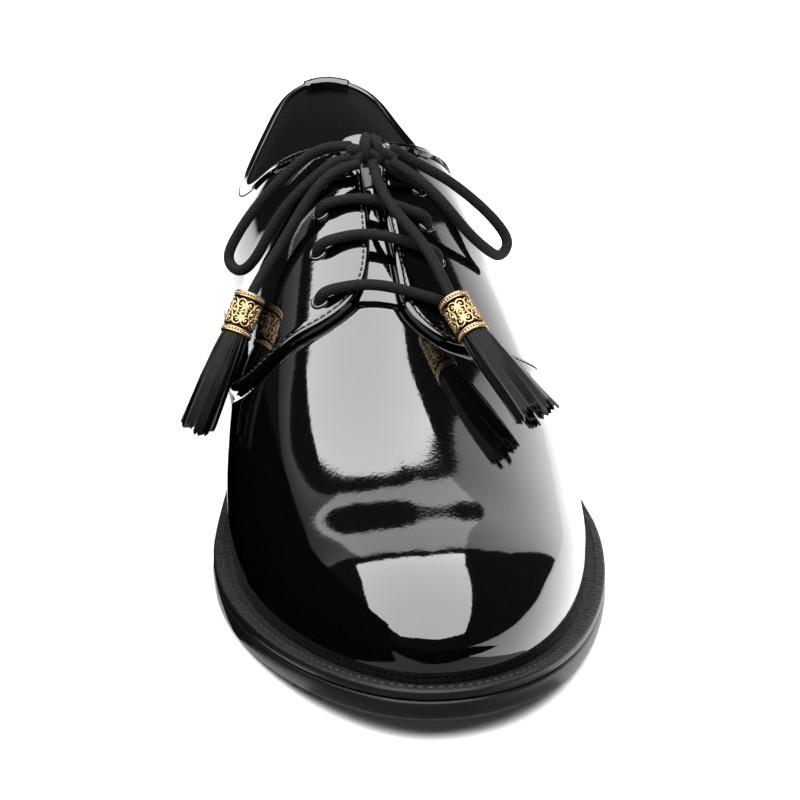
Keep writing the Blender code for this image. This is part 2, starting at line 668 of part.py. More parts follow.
# Bow: knot, two loops and two ends
knot_edit = bmesh.new()
bmesh.ops.create_uvsphere(knot_edit, u_segments=KNOT_SEGMENTS[0], v_segments=KNOT_SEGMENTS[1], radius=1.0)
slope = Matrix.Rotation(math.radians(KNOT_SLOPE), 4, "X")
spot = Matrix.Translation(to_frame(KNOT_PLACE))
bmesh.ops.transform(knot_edit, verts=knot_edit.verts, matrix=spot @ slope @ Matrix.Diagonal((*KNOT_RADII, 1)))
add_part("lace_knot", knot_edit, "lace_cord")
add_cord("lace_loop_medial", route_of(LOOP_MEDIAL))
add_cord("lace_loop_lateral", route_of(LOOP_LATERAL))
add_cord("lace_end_medial", route_of(END_MEDIAL))
add_cord("lace_end_lateral", route_of(END_LATERAL))

# Ferrules and fringe tassels on the two ends
for name, spots in FERRULES.items():
    top = Vector(to_frame(spots["top"]))
    foot = Vector(to_frame(spots["foot"]))
    tips = Vector(to_frame(spots["tips"]))
    axis = foot - top
    turn = axis.to_track_quat("Z", "Y").to_matrix().to_4x4()
    tube_edit = bmesh.new()
    bmesh.ops.create_cone(tube_edit, cap_ends=False, segments=FERRULE_SEGMENTS, depth=axis.length,
                          radius1=FERRULE_DIAMETER / 2, radius2=FERRULE_DIAMETER / 2,
                          matrix=Matrix.Translation((top + foot) / 2) @ turn)
    bmesh.ops.recalc_face_normals(tube_edit, faces=tube_edit.faces)
    ferrule = add_part("ferrule_" + name, tube_edit, "pale_gold")
    ferrule_shell = ferrule.modifiers.new("wall", "SOLIDIFY")
    ferrule_shell.thickness = FERRULE_WALL
    ferrule_shell.offset = -1
    ferrule_shell.use_even_offset = True
    # The fringe starts inside the ferrule and bends towards its tips
    down = np.array(axis.normalized())
    fall = np.array((tips - foot).normalized())
    spread = np.array(spots["spread"])

    def fringe_form(first, second):
        row = np.rint(second * (len(TASSEL["distance"]) - 1)).astype(int)
        distance = TASSEL["distance"][row][:, None]
        way = np.where(distance <= 0, down, fall)
        wide = spread - way * (way @ spread)[:, None]
        wide = wide / np.linalg.norm(wide, axis=1, keepdims=True)
        deep = np.cross(way, wide)
        angle = 2 * math.pi * first[:, None]
        ring = (TASSEL["half_width"][row][:, None] * np.cos(angle) * wide
                + TASSEL["half_depth"][row][:, None] * np.sin(angle) * deep)
        start = np.array(spots["foot"])
        return start + way * distance + ring

    tassel_edit = bmesh.new()
    lay_grid(tassel_edit, TASSEL_SEGMENTS, len(TASSEL["distance"]) - 1, fringe_form)
    close_seams(tassel_edit)
    bmesh.ops.holes_fill(tassel_edit, edges=tassel_edit.edges, sides=0)
    bmesh.ops.recalc_face_normals(tassel_edit, faces=tassel_edit.faces)
    add_part("tassel_" + name, tassel_edit, "fringe_leather")
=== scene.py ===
import json
import math
import bpy
import numpy as np
from mathutils import Quaternion, Vector
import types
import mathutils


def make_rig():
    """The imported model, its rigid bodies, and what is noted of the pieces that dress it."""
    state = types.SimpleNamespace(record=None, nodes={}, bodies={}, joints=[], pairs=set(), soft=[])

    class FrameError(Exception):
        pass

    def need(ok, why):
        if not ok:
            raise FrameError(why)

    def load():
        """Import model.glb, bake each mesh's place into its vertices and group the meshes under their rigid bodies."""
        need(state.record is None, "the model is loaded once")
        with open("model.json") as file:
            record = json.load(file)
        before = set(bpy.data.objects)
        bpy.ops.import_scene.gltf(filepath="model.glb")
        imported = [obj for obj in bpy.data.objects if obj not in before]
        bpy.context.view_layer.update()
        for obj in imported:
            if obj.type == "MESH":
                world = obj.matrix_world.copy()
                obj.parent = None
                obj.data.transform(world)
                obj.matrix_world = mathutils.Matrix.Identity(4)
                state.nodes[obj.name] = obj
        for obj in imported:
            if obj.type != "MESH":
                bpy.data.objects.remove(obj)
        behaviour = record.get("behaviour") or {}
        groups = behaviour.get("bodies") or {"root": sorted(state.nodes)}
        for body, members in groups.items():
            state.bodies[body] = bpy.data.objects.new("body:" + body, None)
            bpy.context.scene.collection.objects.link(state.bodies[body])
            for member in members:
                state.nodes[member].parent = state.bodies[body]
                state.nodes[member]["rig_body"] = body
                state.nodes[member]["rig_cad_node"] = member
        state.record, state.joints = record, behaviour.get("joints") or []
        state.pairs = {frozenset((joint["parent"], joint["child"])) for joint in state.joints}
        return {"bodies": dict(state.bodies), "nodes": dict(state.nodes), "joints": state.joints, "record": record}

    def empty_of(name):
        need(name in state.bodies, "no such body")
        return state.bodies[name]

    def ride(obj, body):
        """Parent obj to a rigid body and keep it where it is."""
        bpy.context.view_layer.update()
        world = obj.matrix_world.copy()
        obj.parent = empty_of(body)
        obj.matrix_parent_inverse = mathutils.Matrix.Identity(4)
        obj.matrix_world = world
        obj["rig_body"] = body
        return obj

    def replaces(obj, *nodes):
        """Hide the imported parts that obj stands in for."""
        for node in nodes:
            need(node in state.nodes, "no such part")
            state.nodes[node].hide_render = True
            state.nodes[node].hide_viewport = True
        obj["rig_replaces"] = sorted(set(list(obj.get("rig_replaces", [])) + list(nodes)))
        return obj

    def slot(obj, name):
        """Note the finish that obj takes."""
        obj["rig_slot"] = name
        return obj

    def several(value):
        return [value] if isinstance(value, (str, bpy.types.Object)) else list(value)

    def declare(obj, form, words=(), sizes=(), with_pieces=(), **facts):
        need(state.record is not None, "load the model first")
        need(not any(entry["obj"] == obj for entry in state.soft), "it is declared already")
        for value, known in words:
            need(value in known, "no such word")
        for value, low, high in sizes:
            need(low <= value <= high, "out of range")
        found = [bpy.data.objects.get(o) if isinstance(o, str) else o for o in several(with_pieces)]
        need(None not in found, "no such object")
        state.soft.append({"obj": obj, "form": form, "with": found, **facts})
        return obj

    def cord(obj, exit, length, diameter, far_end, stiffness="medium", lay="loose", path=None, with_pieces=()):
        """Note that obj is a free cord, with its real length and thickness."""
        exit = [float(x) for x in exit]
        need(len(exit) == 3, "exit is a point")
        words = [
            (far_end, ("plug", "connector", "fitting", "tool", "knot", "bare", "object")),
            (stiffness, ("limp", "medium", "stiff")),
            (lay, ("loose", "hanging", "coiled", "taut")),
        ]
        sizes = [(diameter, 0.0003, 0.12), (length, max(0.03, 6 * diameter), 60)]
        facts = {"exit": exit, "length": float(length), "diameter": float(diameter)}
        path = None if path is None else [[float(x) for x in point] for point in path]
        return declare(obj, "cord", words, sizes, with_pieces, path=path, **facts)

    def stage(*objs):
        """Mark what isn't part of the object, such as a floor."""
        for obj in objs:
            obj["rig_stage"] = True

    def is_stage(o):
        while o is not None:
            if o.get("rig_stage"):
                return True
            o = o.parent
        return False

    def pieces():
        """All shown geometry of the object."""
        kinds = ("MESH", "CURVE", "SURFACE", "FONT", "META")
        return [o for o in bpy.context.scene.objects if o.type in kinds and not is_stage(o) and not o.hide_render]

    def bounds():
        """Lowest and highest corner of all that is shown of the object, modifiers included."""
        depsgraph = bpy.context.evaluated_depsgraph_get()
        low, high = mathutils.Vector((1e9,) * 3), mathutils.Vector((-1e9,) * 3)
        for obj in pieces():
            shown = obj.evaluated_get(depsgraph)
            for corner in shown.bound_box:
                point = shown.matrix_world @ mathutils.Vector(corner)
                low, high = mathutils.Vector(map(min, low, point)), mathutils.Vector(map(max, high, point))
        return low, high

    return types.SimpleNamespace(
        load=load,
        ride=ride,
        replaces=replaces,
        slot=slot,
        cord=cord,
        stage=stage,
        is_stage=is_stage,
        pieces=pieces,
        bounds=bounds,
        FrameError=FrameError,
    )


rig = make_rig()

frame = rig.load()
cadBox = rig.bounds()
bpy.ops.object.select_all(action="DESELECT")
lateral, medial = 1, -1
print("frame loaded, nodes:", len(frame["nodes"]))

# sizes of the last and the sole, in metres, as the CAD model has them
lastSizes = {
    "gap": 0.0003, "outsoleThick": 0.0056, "weltThick": 0.0027, "insoleThick": 0.0042,
    "toeSpring": 0.0060, "springStart": 0.088, "archStart": 0.118, "archEnd": 0.232,
    "heelPitch": 0.0215, "seatRise": 0.0020, "seatLength": 0.068, "heelBreast": 0.228,
    "heelInset": 0.0016, "ringInset": 0.00215, "featherLift": 0.0008, "toeSettle": 0.035,
    "ridgeSwing": 0.0010, "ballMark": 0.110, "ballEase": 0.022, "facingTop": 0.195, "heelMark": 0.346,
    "easeReach": 0.009, "easeSpan": 0.034, "swingStart": 0.030, "swingLength": 0.080,
    "faceStep": 0.0003, "ribStep": 0.003,
    "crestTilt": 10, "crestStart": 0.060, "crestFull": 0.125, "crestFall": 0.172}


def columns(names, rows):
    values = np.array(rows, float)
    return {name: values[:, index] for index, name in enumerate(names.split())}


ridge = columns("along station height", [
    (0.000, 0.0055, 0.0144), (0.008, 0.0051, 0.0227), (0.017, 0.0090, 0.0306),
    (0.030, 0.0192, 0.0378), (0.050, 0.0380, 0.0440), (0.075, 0.0625, 0.0512),
    (0.100, 0.0850, 0.0600), (0.125, 0.1070, 0.0712), (0.150, 0.1285, 0.0835),
    (0.175, 0.1500, 0.0955), (0.195, 0.1670, 0.1045)])
topline = {
    lateral: columns("along station width height lean turn", [
        (0.206, 0.1700, 0.0098, 0.1028, 29, 0), (0.222, 0.1800, 0.0195, 0.0960, 52, 0),
        (0.240, 0.1955, 0.0240, 0.0850, 68, 0), (0.262, 0.2170, 0.0256, 0.0780, 75, 0),
        (0.288, 0.2430, 0.0236, 0.0768, 78, 6), (0.312, 0.2650, 0.0184, 0.0797, 80, 25),
        (0.332, 0.2830, 0.0109, 0.0840, 82, 62), (0.346, 0.2885, 0.0000, 0.0855, 82, 90)]),
    medial: columns("along station width height lean turn", [
        (0.206, 0.1700, 0.0105, 0.1028, 27, 0), (0.222, 0.1800, 0.0218, 0.0960, 48, 0),
        (0.240, 0.1955, 0.0286, 0.0845, 64, 0), (0.262, 0.2170, 0.0306, 0.0768, 72, 0),
        (0.288, 0.2430, 0.0258, 0.0765, 78, 6), (0.312, 0.2650, 0.0190, 0.0800, 80, 25),
        (0.332, 0.2830, 0.0104, 0.0840, 82, 62), (0.346, 0.2885, 0.0000, 0.0855, 82, 90)])}
feather = {
    lateral: columns("along station width", [
        (0.110, 0.1210, 0.0540), (0.140, 0.1375, 0.0522), (0.165, 0.1540, 0.0485),
        (0.195, 0.1760, 0.0428), (0.222, 0.1960, 0.0382), (0.250, 0.2180, 0.0345),
        (0.280, 0.2430, 0.0322), (0.306, 0.2650, 0.0290), (0.330, 0.2870, 0.0180),
        (0.346, 0.2960, 0.0000)]),
    medial: columns("along station width", [
        (0.110, 0.0950, 0.0433), (0.140, 0.1155, 0.0424), (0.165, 0.1370, 0.0390),
        (0.195, 0.1630, 0.0335), (0.222, 0.1870, 0.0305), (0.250, 0.2120, 0.0302),
        (0.280, 0.2400, 0.0312), (0.306, 0.2640, 0.0290), (0.330, 0.2870, 0.0180),
        (0.346, 0.2960, 0.0000)])}
fullness = {
    lateral: columns("along rise pull bulge", [
        (0.000, 0.47, 0.0308, 0.0000), (0.030, 0.50, 0.0313, 0.0005), (0.075, 0.52, 0.0310, 0.0015),
        (0.110, 0.50, 0.0300, 0.0025), (0.150, 0.44, 0.0285, 0.0030), (0.195, 0.40, 0.0250, 0.0025),
        (0.206, 0.37, 0.0226, 0.0025), (0.222, 0.35, 0.0205, 0.0025), (0.240, 0.35, 0.0180, 0.0030),
        (0.262, 0.36, 0.0160, 0.0035), (0.306, 0.38, 0.0163, 0.0050), (0.346, 0.38, 0.0170, 0.0045)]),
    medial: columns("along rise pull bulge", [
        (0.000, 0.45, 0.0204, 0.0000), (0.030, 0.49, 0.0222, 0.0005), (0.075, 0.54, 0.0236, 0.0020),
        (0.110, 0.54, 0.0245, 0.0040), (0.150, 0.48, 0.0245, 0.0095), (0.195, 0.44, 0.0228, 0.0130),
        (0.206, 0.41, 0.0218, 0.0135), (0.222, 0.39, 0.0205, 0.0140), (0.240, 0.39, 0.0185, 0.0135),
        (0.262, 0.40, 0.0166, 0.0115), (0.306, 0.38, 0.0163, 0.0055), (0.346, 0.38, 0.0170, 0.0045)])}
ledgeRows = columns("station ledge", [
    (0.000, 0.0050), (0.110, 0.0048), (0.170, 0.0036), (0.210, 0.0029), (0.300, 0.0027)])


# curves through the columns
def smoothCurve(marks, values):
    marks = np.asarray(marks, float)
    values = np.asarray(values, float)
    count = len(marks)
    step = np.diff(marks)
    system = np.zeros((count, count))
    right = np.zeros(count)
    system[0, 0] = system[-1, -1] = 1
    for row in range(1, count - 1):
        system[row, row - 1:row + 2] = step[row - 1], 2 * (step[row - 1] + step[row]), step[row]
        slopes = np.diff(values[row - 1:row + 2]) / step[row - 1:row + 1]
        right[row] = 6 * (slopes[1] - slopes[0])
    bend = np.linalg.solve(system, right)

    def curve(mark):
        mark = np.asarray(mark, float)
        k = np.clip(np.searchsorted(marks, mark) - 1, 0, count - 2)
        ahead, past, wide = marks[k + 1] - mark, mark - marks[k], step[k]
        cubic = (bend[k] * ahead ** 3 + bend[k + 1] * past ** 3) / (6 * wide)
        start = (values[k] / wide - bend[k] * wide / 6) * ahead
        return cubic + start + (values[k + 1] / wide - bend[k + 1] * wide / 6) * past

    return curve


def ease(value):
    value = np.clip(value, 0, 1)
    return value * value * (3 - 2 * value)


def unit(vectors):
    return vectors / np.maximum(np.linalg.norm(vectors, axis=-1, keepdims=True), 1e-12)


def underside(station):
    s = lastSizes
    toe = s["toeSpring"] * np.clip(1 - station / s["springStart"], 0, 1) ** 2
    arch = s["heelPitch"] * ease((station - s["archStart"]) / (s["archEnd"] - s["archStart"]))
    return toe + arch + s["seatRise"] * np.clip((station - s["archEnd"]) / s["seatLength"], 0, 1)


def featherHeight(station):
    s = lastSizes
    return underside(station) + s["outsoleThick"] + s["weltThick"] + s["featherLift"]


def pastHeel(marks, values, sign):
    moreMarks = 2 * lastSizes["heelMark"] - marks[-2:-4:-1]
    moreValues = sign * values[-2:-4:-1] + (1 - sign) * values[-1]
    return np.concatenate([marks, moreMarks]), np.concatenate([values, moreValues])


def footMark(along):
    s = lastSizes

    def eased(distance):
        return (distance + np.sqrt(distance ** 2 + s["ballEase"] ** 2)) / 2
    length = s["heelMark"] - s["ballMark"]
    return s["ballMark"] + length * eased(along - s["ballMark"]) / eased(length)


# slope of the instep across its top, in degrees: its crest lies towards the inner side
def crestTilt(along):
    s = lastSizes
    grown = ease((along - s["crestStart"]) / (s["crestFull"] - s["crestStart"]))
    return s["crestTilt"] * grown * (1 - ease((along - s["crestFall"]) / (s["facingTop"] - s["crestFall"])))


def lastSide(side):
    facingTop, swing = lastSizes["facingTop"], lastSizes["ridgeSwing"]
    top = topline[side]
    marks = np.concatenate([[facingTop], top["along"]])

    def late(first, column, sign):
        return smoothCurve(*pastHeel(marks, np.concatenate([[first], top[column]]), sign))
    ridgeStation = smoothCurve(ridge["along"], ridge["station"])
    ridgeHeight = smoothCurve(ridge["along"], ridge["height"])
    endStation = late(ridge["station"][-1], "station", 1)
    endHeight = late(ridge["height"][-1], "height", 1)
    endWidth = late(-swing * side, "width", -1)
    endLean = smoothCurve(marks, np.concatenate([[0], top["lean"]]))
    endTurn = late(0, "turn", -1)
    baseStation = smoothCurve(*pastHeel(feather[side]["along"], feather[side]["station"], 1))
    baseWidth = smoothCurve(*pastHeel(feather[side]["along"], feather[side]["width"], -1))
    rise, crown, bulge = [smoothCurve(fullness[side]["along"], fullness[side][name])
                          for name in ("rise", "pull", "bulge")]

    def rib(along, height):
        foot = footMark(along)
        station = baseStation(foot)
        base = np.stack([side * baseWidth(foot), station, featherHeight(station)], -1)
        isLate = along > facingTop
        ahead, beyond = np.minimum(along, facingTop), np.maximum(along, facingTop)
        swung = -swing * ease((along - lastSizes["swingStart"]) / lastSizes["swingLength"])
        endX = np.where(isLate, side * endWidth(beyond), swung)
        endY = np.where(isLate, endStation(beyond), ridgeStation(ahead))
        endZ = np.where(isLate, endHeight(beyond), ridgeHeight(ahead))
        end = np.stack([endX, endY, endZ], -1)
        lean = np.radians(np.where(isLate, endLean(beyond), side * crestTilt(along)))[..., None]
        turn = np.radians(np.where(isLate, endTurn(beyond), 0))
        inward = np.stack([-side * np.cos(turn), -np.sin(turn), 0 * turn], -1)
        span = end - base
        climb = span - (span * inward).sum(-1, keepdims=True) * inward
        first = base + rise(along)[..., None] * climb - bulge(along)[..., None] * inward
        second = end - crown(along)[..., None] * (np.cos(lean) * inward + np.sin(lean) * unit(climb))
        w = height[..., None]
        return ((1 - w) ** 3 * base + 3 * (1 - w) ** 2 * w * first
                + 3 * (1 - w) * w * w * second + w ** 3 * end)

    def face(along, height):
        points = rib(along, height)
        lowest = rib(0 * along, height)
        settle = featherHeight(lowest[..., 1]) - lowest[..., 2]
        points[..., 2] += settle * ease(1 - along / lastSizes["toeSettle"])
        return points

    return face


lastFaces = {side: lastSide(side) for side in (lateral, medial)}


# outer face of the last, eased where the facings end so that no crease runs down from there
def lastFace(side, along, height):
    along, height = np.broadcast_arrays(np.asarray(along, float), np.asarray(height, float))
    nearness = np.clip(1 - np.abs(along - lastSizes["facingTop"]) / lastSizes["easeSpan"], 0, 1)
    reach = lastSizes["easeReach"] * ease(nearness)
    total = 0
    for step, weight in ((-1, 1), (-0.5, 4), (0, 6), (0.5, 4), (1, 1)):
        total = total + weight / 16 * lastFaces[side](along + step * reach, height)
    return total


def outward(side, along, height):
    along, height = np.broadcast_arrays(np.asarray(along, float), np.asarray(height, float))
    faceStep, ribStep = lastSizes["faceStep"], lastSizes["ribStep"]
    behind, before = [np.clip(along + step, 0, lastSizes["heelMark"]) for step in (faceStep, -faceStep)]
    above, under = [np.clip(height + step, 0, 1) for step in (ribStep, -ribStep)]
    over = lastFace(side, behind, height) - lastFace(side, before, height)
    rib = lastFace(side, along, above) - lastFace(side, along, under)
    return unit(side * np.cross(over, rib))


def onLast(side, along, height, lift):
    lift = np.broadcast_to(lift, np.shape(along))
    return lastFace(side, along, height) + lift[..., None] * outward(side, along, height)


# share of a rib's height at a distance measured down over the leather from the ridge line
ribMarks = np.linspace(0, lastSizes["heelMark"], 175)
ribShares = np.linspace(1, 0, 101)
ribTravel = {}
for side in (lateral, medial):
    ribs = lastFace(side, ribMarks[:, None], ribShares[None, :])
    steps = np.linalg.norm(np.diff(ribs, axis=1), axis=-1)
    start = np.where(ribMarks > lastSizes["facingTop"], np.abs(ribs[:, 0, 0]), 0)
    ribTravel[side] = start[:, None] + np.concatenate([0 * steps[:, :1], np.cumsum(steps, 1)], 1)


def travelRow(side, along):
    place = np.clip(along / lastSizes["heelMark"], 0, 1) * (len(ribMarks) - 1)
    low = min(int(place), len(ribMarks) - 2)
    return ribTravel[side][low] * (low + 1 - place) + ribTravel[side][low + 1] * (place - low)


def heightAt(side, along, distance):
    flat = [np.interp(d, travelRow(side, a), ribShares) for a, d in zip(np.ravel(along), np.ravel(distance))]
    return np.array(flat).reshape(np.shape(along))


# the same the other way round: distance from the ridge line at a share of the height
def distanceAt(side, along, share):
    return np.array([np.interp(-h, -ribShares, travelRow(side, a)) for a, h in zip(along, share)])


def onLeather(along, across, lift):
    side = lateral if across >= 0 else medial
    place = np.array([along])
    return onLast(side, place, heightAt(side, place, [abs(across)]), lift)[0]


# distance along a line of points, and values read off between them
def travelledAlong(points):
    return np.concatenate([[0], np.cumsum(np.linalg.norm(np.diff(points, axis=0), axis=1))])


def readOff(marks, travelled, values):
    return np.stack([np.interp(marks, travelled, column) for column in values.T], -1)


def even(points, count):
    travelled = travelledAlong(points)
    return readOff(np.linspace(0, travelled[-1], count), travelled, points)


# outlines of the sole from the back of the heel to the toe
outlineCount = 200
featherLines = {}
for side in (lateral, medial):
    backwards = np.linspace(lastSizes["heelMark"], 0, 400)
    upToe = np.linspace(0, 1, 300)[1:]
    line = np.concatenate([lastFaces[side](backwards, 0 * backwards), lastFaces[side](0 * upToe, upToe)])
    featherLines[side] = even(line[:, :2], outlineCount)


def offsetLine(side, distance):
    points = featherLines[side]
    mirrored = points * np.array([-1, 1])
    padded = np.concatenate([mirrored[1:2], points, mirrored[-2:-1]])
    way = padded[2:] - padded[:-2]
    aside = unit(side * np.stack([-way[:, 1], way[:, 0]], -1))
    moved = points + aside * np.broadcast_to(distance, outlineCount)[:, None]
    moved[[0, -1], 0] = 0
    return moved


def ledgeOf(side):
    return np.interp(featherLines[side][:, 1], ledgeRows["station"], ledgeRows["ledge"])


# closed line round the shoe: share of the ledge kept, then a plain offset outwards
def roundLine(ledgeShare, extra):
    halves = {side: offsetLine(side, ledgeShare * ledgeOf(side) + extra) for side in (lateral, medial)}
    return np.concatenate([halves[lateral], halves[medial][-2::-1]])


soleEdge = roundLine(1, 0)
middle = np.array([*((soleEdge.min(0) + soleEdge.max(0)) / 2), 0])
print("last ready, middle of the sole at", np.round(middle, 5))


# a grid primitive laid onto a form of two shares from 0 to 1
def layGrid(name, first, second, form):
    bpy.ops.mesh.primitive_grid_add(x_subdivisions=first, y_subdivisions=second, size=1)
    piece = bpy.context.object
    piece.name = piece.data.name = name
    spots = np.empty(len(piece.data.vertices) * 3)
    piece.data.vertices.foreach_get("co", spots)
    shares = spots.reshape(-1, 3)[:, :2] + 0.5
    piece.data.vertices.foreach_set("co", (form(shares[:, 0], shares[:, 1]) - middle).ravel())
    piece.data.update()
    return piece


def indexOf(share, count):
    return np.clip(np.rint(share * (count - 1)).astype(int), 0, count - 1)


def pick(*pieces):
    bpy.ops.object.select_all(action="DESELECT")
    for piece in pieces:
        piece.select_set(True)
    bpy.context.view_layer.objects.active = pieces[0]
    return pieces[0]


def joinAs(name, pieces):
    whole = pick(*pieces)
    if len(pieces) > 1:
        bpy.ops.object.join()
    whole.name = whole.data.name = name
    return whole


# a new piece from corners in the last's own frame
def newPiece(name, corners, faces):
    mesh = bpy.data.meshes.new(name)
    mesh.from_pydata((corners - middle).tolist(), [], faces)
    piece = bpy.data.objects.new(name, mesh)
    bpy.context.scene.collection.objects.link(piece)
    return piece


# merges corners that meet, and fills any open ends where asked
def weld(piece, distance, fillEnds=False):
    pick(piece)
    bpy.ops.object.mode_set(mode="EDIT")
    bpy.ops.mesh.select_all(action="SELECT")
    bpy.ops.mesh.remove_doubles(threshold=distance)
    bpy.ops.mesh.normals_make_consistent(inside=False)
    if fillEnds:
        bpy.ops.mesh.select_all(action="DESELECT")
        bpy.ops.mesh.select_non_manifold()
        bpy.ops.mesh.fill_holes(sides=0)
        bpy.ops.mesh.select_all(action="SELECT")
        bpy.ops.mesh.normals_make_consistent(inside=False)
    bpy.ops.object.mode_set(mode="OBJECT")
    return piece


# points inside the shoe or under it, for turning sheets the right way out
insidePoints = {"toe": (0, -0.05, 0.02), "waist": (0, 0.06, 0.04), "heel": (0, 0.10, 0.04),
                "floor": (0, 0, -0.2)}


# turns an open sheet over if most of its faces look away from the given point, or towards it
def faceAway(piece, point, away=True):
    mesh = piece.data
    centres = np.empty(len(mesh.polygons) * 3)
    normals = np.empty(len(mesh.polygons) * 3)
    mesh.polygons.foreach_get("center", centres)
    mesh.polygons.foreach_get("normal", normals)
    outwards = ((centres.reshape(-1, 3) - np.asarray(point)) * normals.reshape(-1, 3)).sum() > 0
    if outwards != away:
        pick(piece)
        bpy.ops.object.mode_set(mode="EDIT")
        bpy.ops.mesh.select_all(action="SELECT")
        bpy.ops.mesh.flip_normals()
        bpy.ops.object.mode_set(mode="OBJECT")
    return piece


def shape(piece, kind, **settings):
    pick(piece)
    step = piece.modifiers.new(kind.lower(), kind)
    for name, value in settings.items():
        setattr(step, name, value)
    bpy.ops.object.modifier_apply(modifier=step.name)
    return piece


# removes the faces whose corners all answer to the test
def removeFaces(piece, chosen):
    pick(piece)
    bpy.ops.object.mode_set(mode="EDIT")
    bpy.ops.mesh.select_mode(type="FACE")
    bpy.ops.mesh.select_all(action="DESELECT")
    bpy.ops.object.mode_set(mode="OBJECT")
    corners = np.empty(len(piece.data.loops), int)
    piece.data.loops.foreach_get("vertex_index", corners)
    piece.data.polygons.foreach_set("select", chosen[corners.reshape(-1, 4)].all(1))
    bpy.ops.object.mode_set(mode="EDIT")
    bpy.ops.mesh.delete(type="FACE")
    bpy.ops.mesh.select_mode(type="VERT")
    bpy.ops.object.mode_set(mode="OBJECT")
    return piece


# one mesh of many copies of a small shape, each copy with its own place and axes
def scatter(name, template, places, axes):
    corners = np.array([vert.co for vert in template.data.vertices])
    faces = [tuple(polygon.vertices) for polygon in template.data.polygons]
    spots = np.einsum("kc,nca->nka", corners, np.asarray(axes)) + np.asarray(places)[:, None, :]
    allFaces = [tuple(corner + copy * len(corners) for corner in face)
                for copy in range(len(places)) for face in faces]
    piece = newPiece(name, spots.reshape(-1, 3), allFaces)
    bpy.data.objects.remove(template)
    pick(piece)
    bpy.ops.object.shade_smooth()
    return piece


# smooth shading, finish, body, material slot and the CAD nodes that the piece stands for
def settle(piece, material, slot, *nodes, angle=None):
    pick(piece)
    if angle is None:
        bpy.ops.object.shade_smooth()
    else:
        bpy.ops.object.shade_smooth_by_angle(angle=math.radians(angle))
    if material.name not in piece.data.materials:
        piece.data.materials.append(material)
    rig.ride(piece, "root")
    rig.slot(piece, slot)
    if nodes:
        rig.replaces(piece, *nodes)
    return piece


# shader groups shared by the finishes: each puts out a height for the bump and a mask
def newGroup(name, inputs):
    group = bpy.data.node_groups.new(name, "ShaderNodeTree")
    for label, value in inputs.items():
        socket = group.interface.new_socket(label, in_out="INPUT", socket_type="NodeSocketFloat")
        socket.default_value = value
    for label in ("Height", "Mask"):
        group.interface.new_socket(label, in_out="OUTPUT", socket_type="NodeSocketFloat")
    return group, group.nodes.new("NodeGroupInput"), group.nodes.new("NodeGroupOutput")


def sums(tree, operation, first, second):
    node = tree.nodes.new("ShaderNodeMath")
    node.operation = operation
    for socket, value in zip(node.inputs, (first, second)):
        if isinstance(value, (int, float)):
            socket.default_value = value
        else:
            tree.links.new(value, socket)
    return node.outputs[0]


def noiseOf(tree, coordinates, scale, detail):
    node = tree.nodes.new("ShaderNodeTexNoise")
    node.inputs["Detail"].default_value = detail
    tree.links.new(coordinates, node.inputs["Vector"])
    tree.links.new(scale, node.inputs["Scale"])
    return node.outputs["Fac"]


# two sizes of soft unevenness, heights in metres
def makeUnevenness():
    group, inputs, outputs = newGroup("unevenSurface", {
        "Broad Scale": 60, "Broad Height": 0.0001, "Fine Scale": 700, "Fine Height": 0.00001})
    spots = group.nodes.new("ShaderNodeTexCoord").outputs["Object"]
    broad = noiseOf(group, spots, inputs.outputs["Broad Scale"], 1.0)
    fine = noiseOf(group, spots, inputs.outputs["Fine Scale"], 2.0)
    broadPart = sums(group, "MULTIPLY", broad, inputs.outputs["Broad Height"])
    finePart = sums(group, "MULTIPLY", fine, inputs.outputs["Fine Height"])
    group.links.new(sums(group, "ADD", broadPart, finePart), outputs.inputs["Height"])
    group.links.new(fine, outputs.inputs["Mask"])
    return group


# rounded pebbles pressed into leather or rubber
def makePebbles():
    group, inputs, outputs = newGroup("pebbleGrain", {"Scale": 900, "Height": 0.0001})
    cells = group.nodes.new("ShaderNodeTexVoronoi")
    cells.feature = "SMOOTH_F1"
    spots = group.nodes.new("ShaderNodeTexCoord").outputs["Object"]
    group.links.new(spots, cells.inputs["Vector"])
    group.links.new(inputs.outputs["Scale"], cells.inputs["Scale"])
    mask = sums(group, "SUBTRACT", 1.0, cells.outputs["Distance"])
    group.links.new(sums(group, "MULTIPLY", mask, inputs.outputs["Height"]), outputs.inputs["Height"])
    group.links.new(mask, outputs.inputs["Mask"])
    return group


# diagonal strands of a round braid on a map of millimetres along and turns round
def makeBraid():
    group, inputs, outputs = newGroup("roundBraid", {"Pitch": 1.5, "Strands": 7, "Height": 0.0002})
    spots = group.nodes.new("ShaderNodeSeparateXYZ")
    group.links.new(group.nodes.new("ShaderNodeTexCoord").outputs["UV"], spots.inputs[0])
    along = sums(group, "DIVIDE", spots.outputs["X"], inputs.outputs["Pitch"])
    around = sums(group, "MULTIPLY", spots.outputs["Y"], inputs.outputs["Strands"])
    waves = []
    for operation in ("ADD", "SUBTRACT"):
        turn = sums(group, "MULTIPLY", sums(group, operation, along, around), 2 * math.pi)
        waves.append(sums(group, "SINE", turn, 0.0))
    mask = sums(group, "MULTIPLY_ADD", sums(group, "MAXIMUM", waves[0], waves[1]), 0.5)
    group.links.new(sums(group, "MULTIPLY", mask, inputs.outputs["Height"]), outputs.inputs["Height"])
    group.links.new(mask, outputs.inputs["Mask"])
    return group


groups = {"uneven": makeUnevenness(), "pebbles": makePebbles(), "braid": makeBraid()}


def newFinish(name, colour, roughness, **sockets):
    material = bpy.data.materials.new(name)
    material.use_nodes = True
    shader = material.node_tree.nodes["Principled BSDF"]
    shader.inputs["Base Color"].default_value = (*colour, 1)
    shader.inputs["Roughness"].default_value = roughness
    for label, value in sockets.items():
        shader.inputs[label.replace("_", " ")].default_value = value
    return material


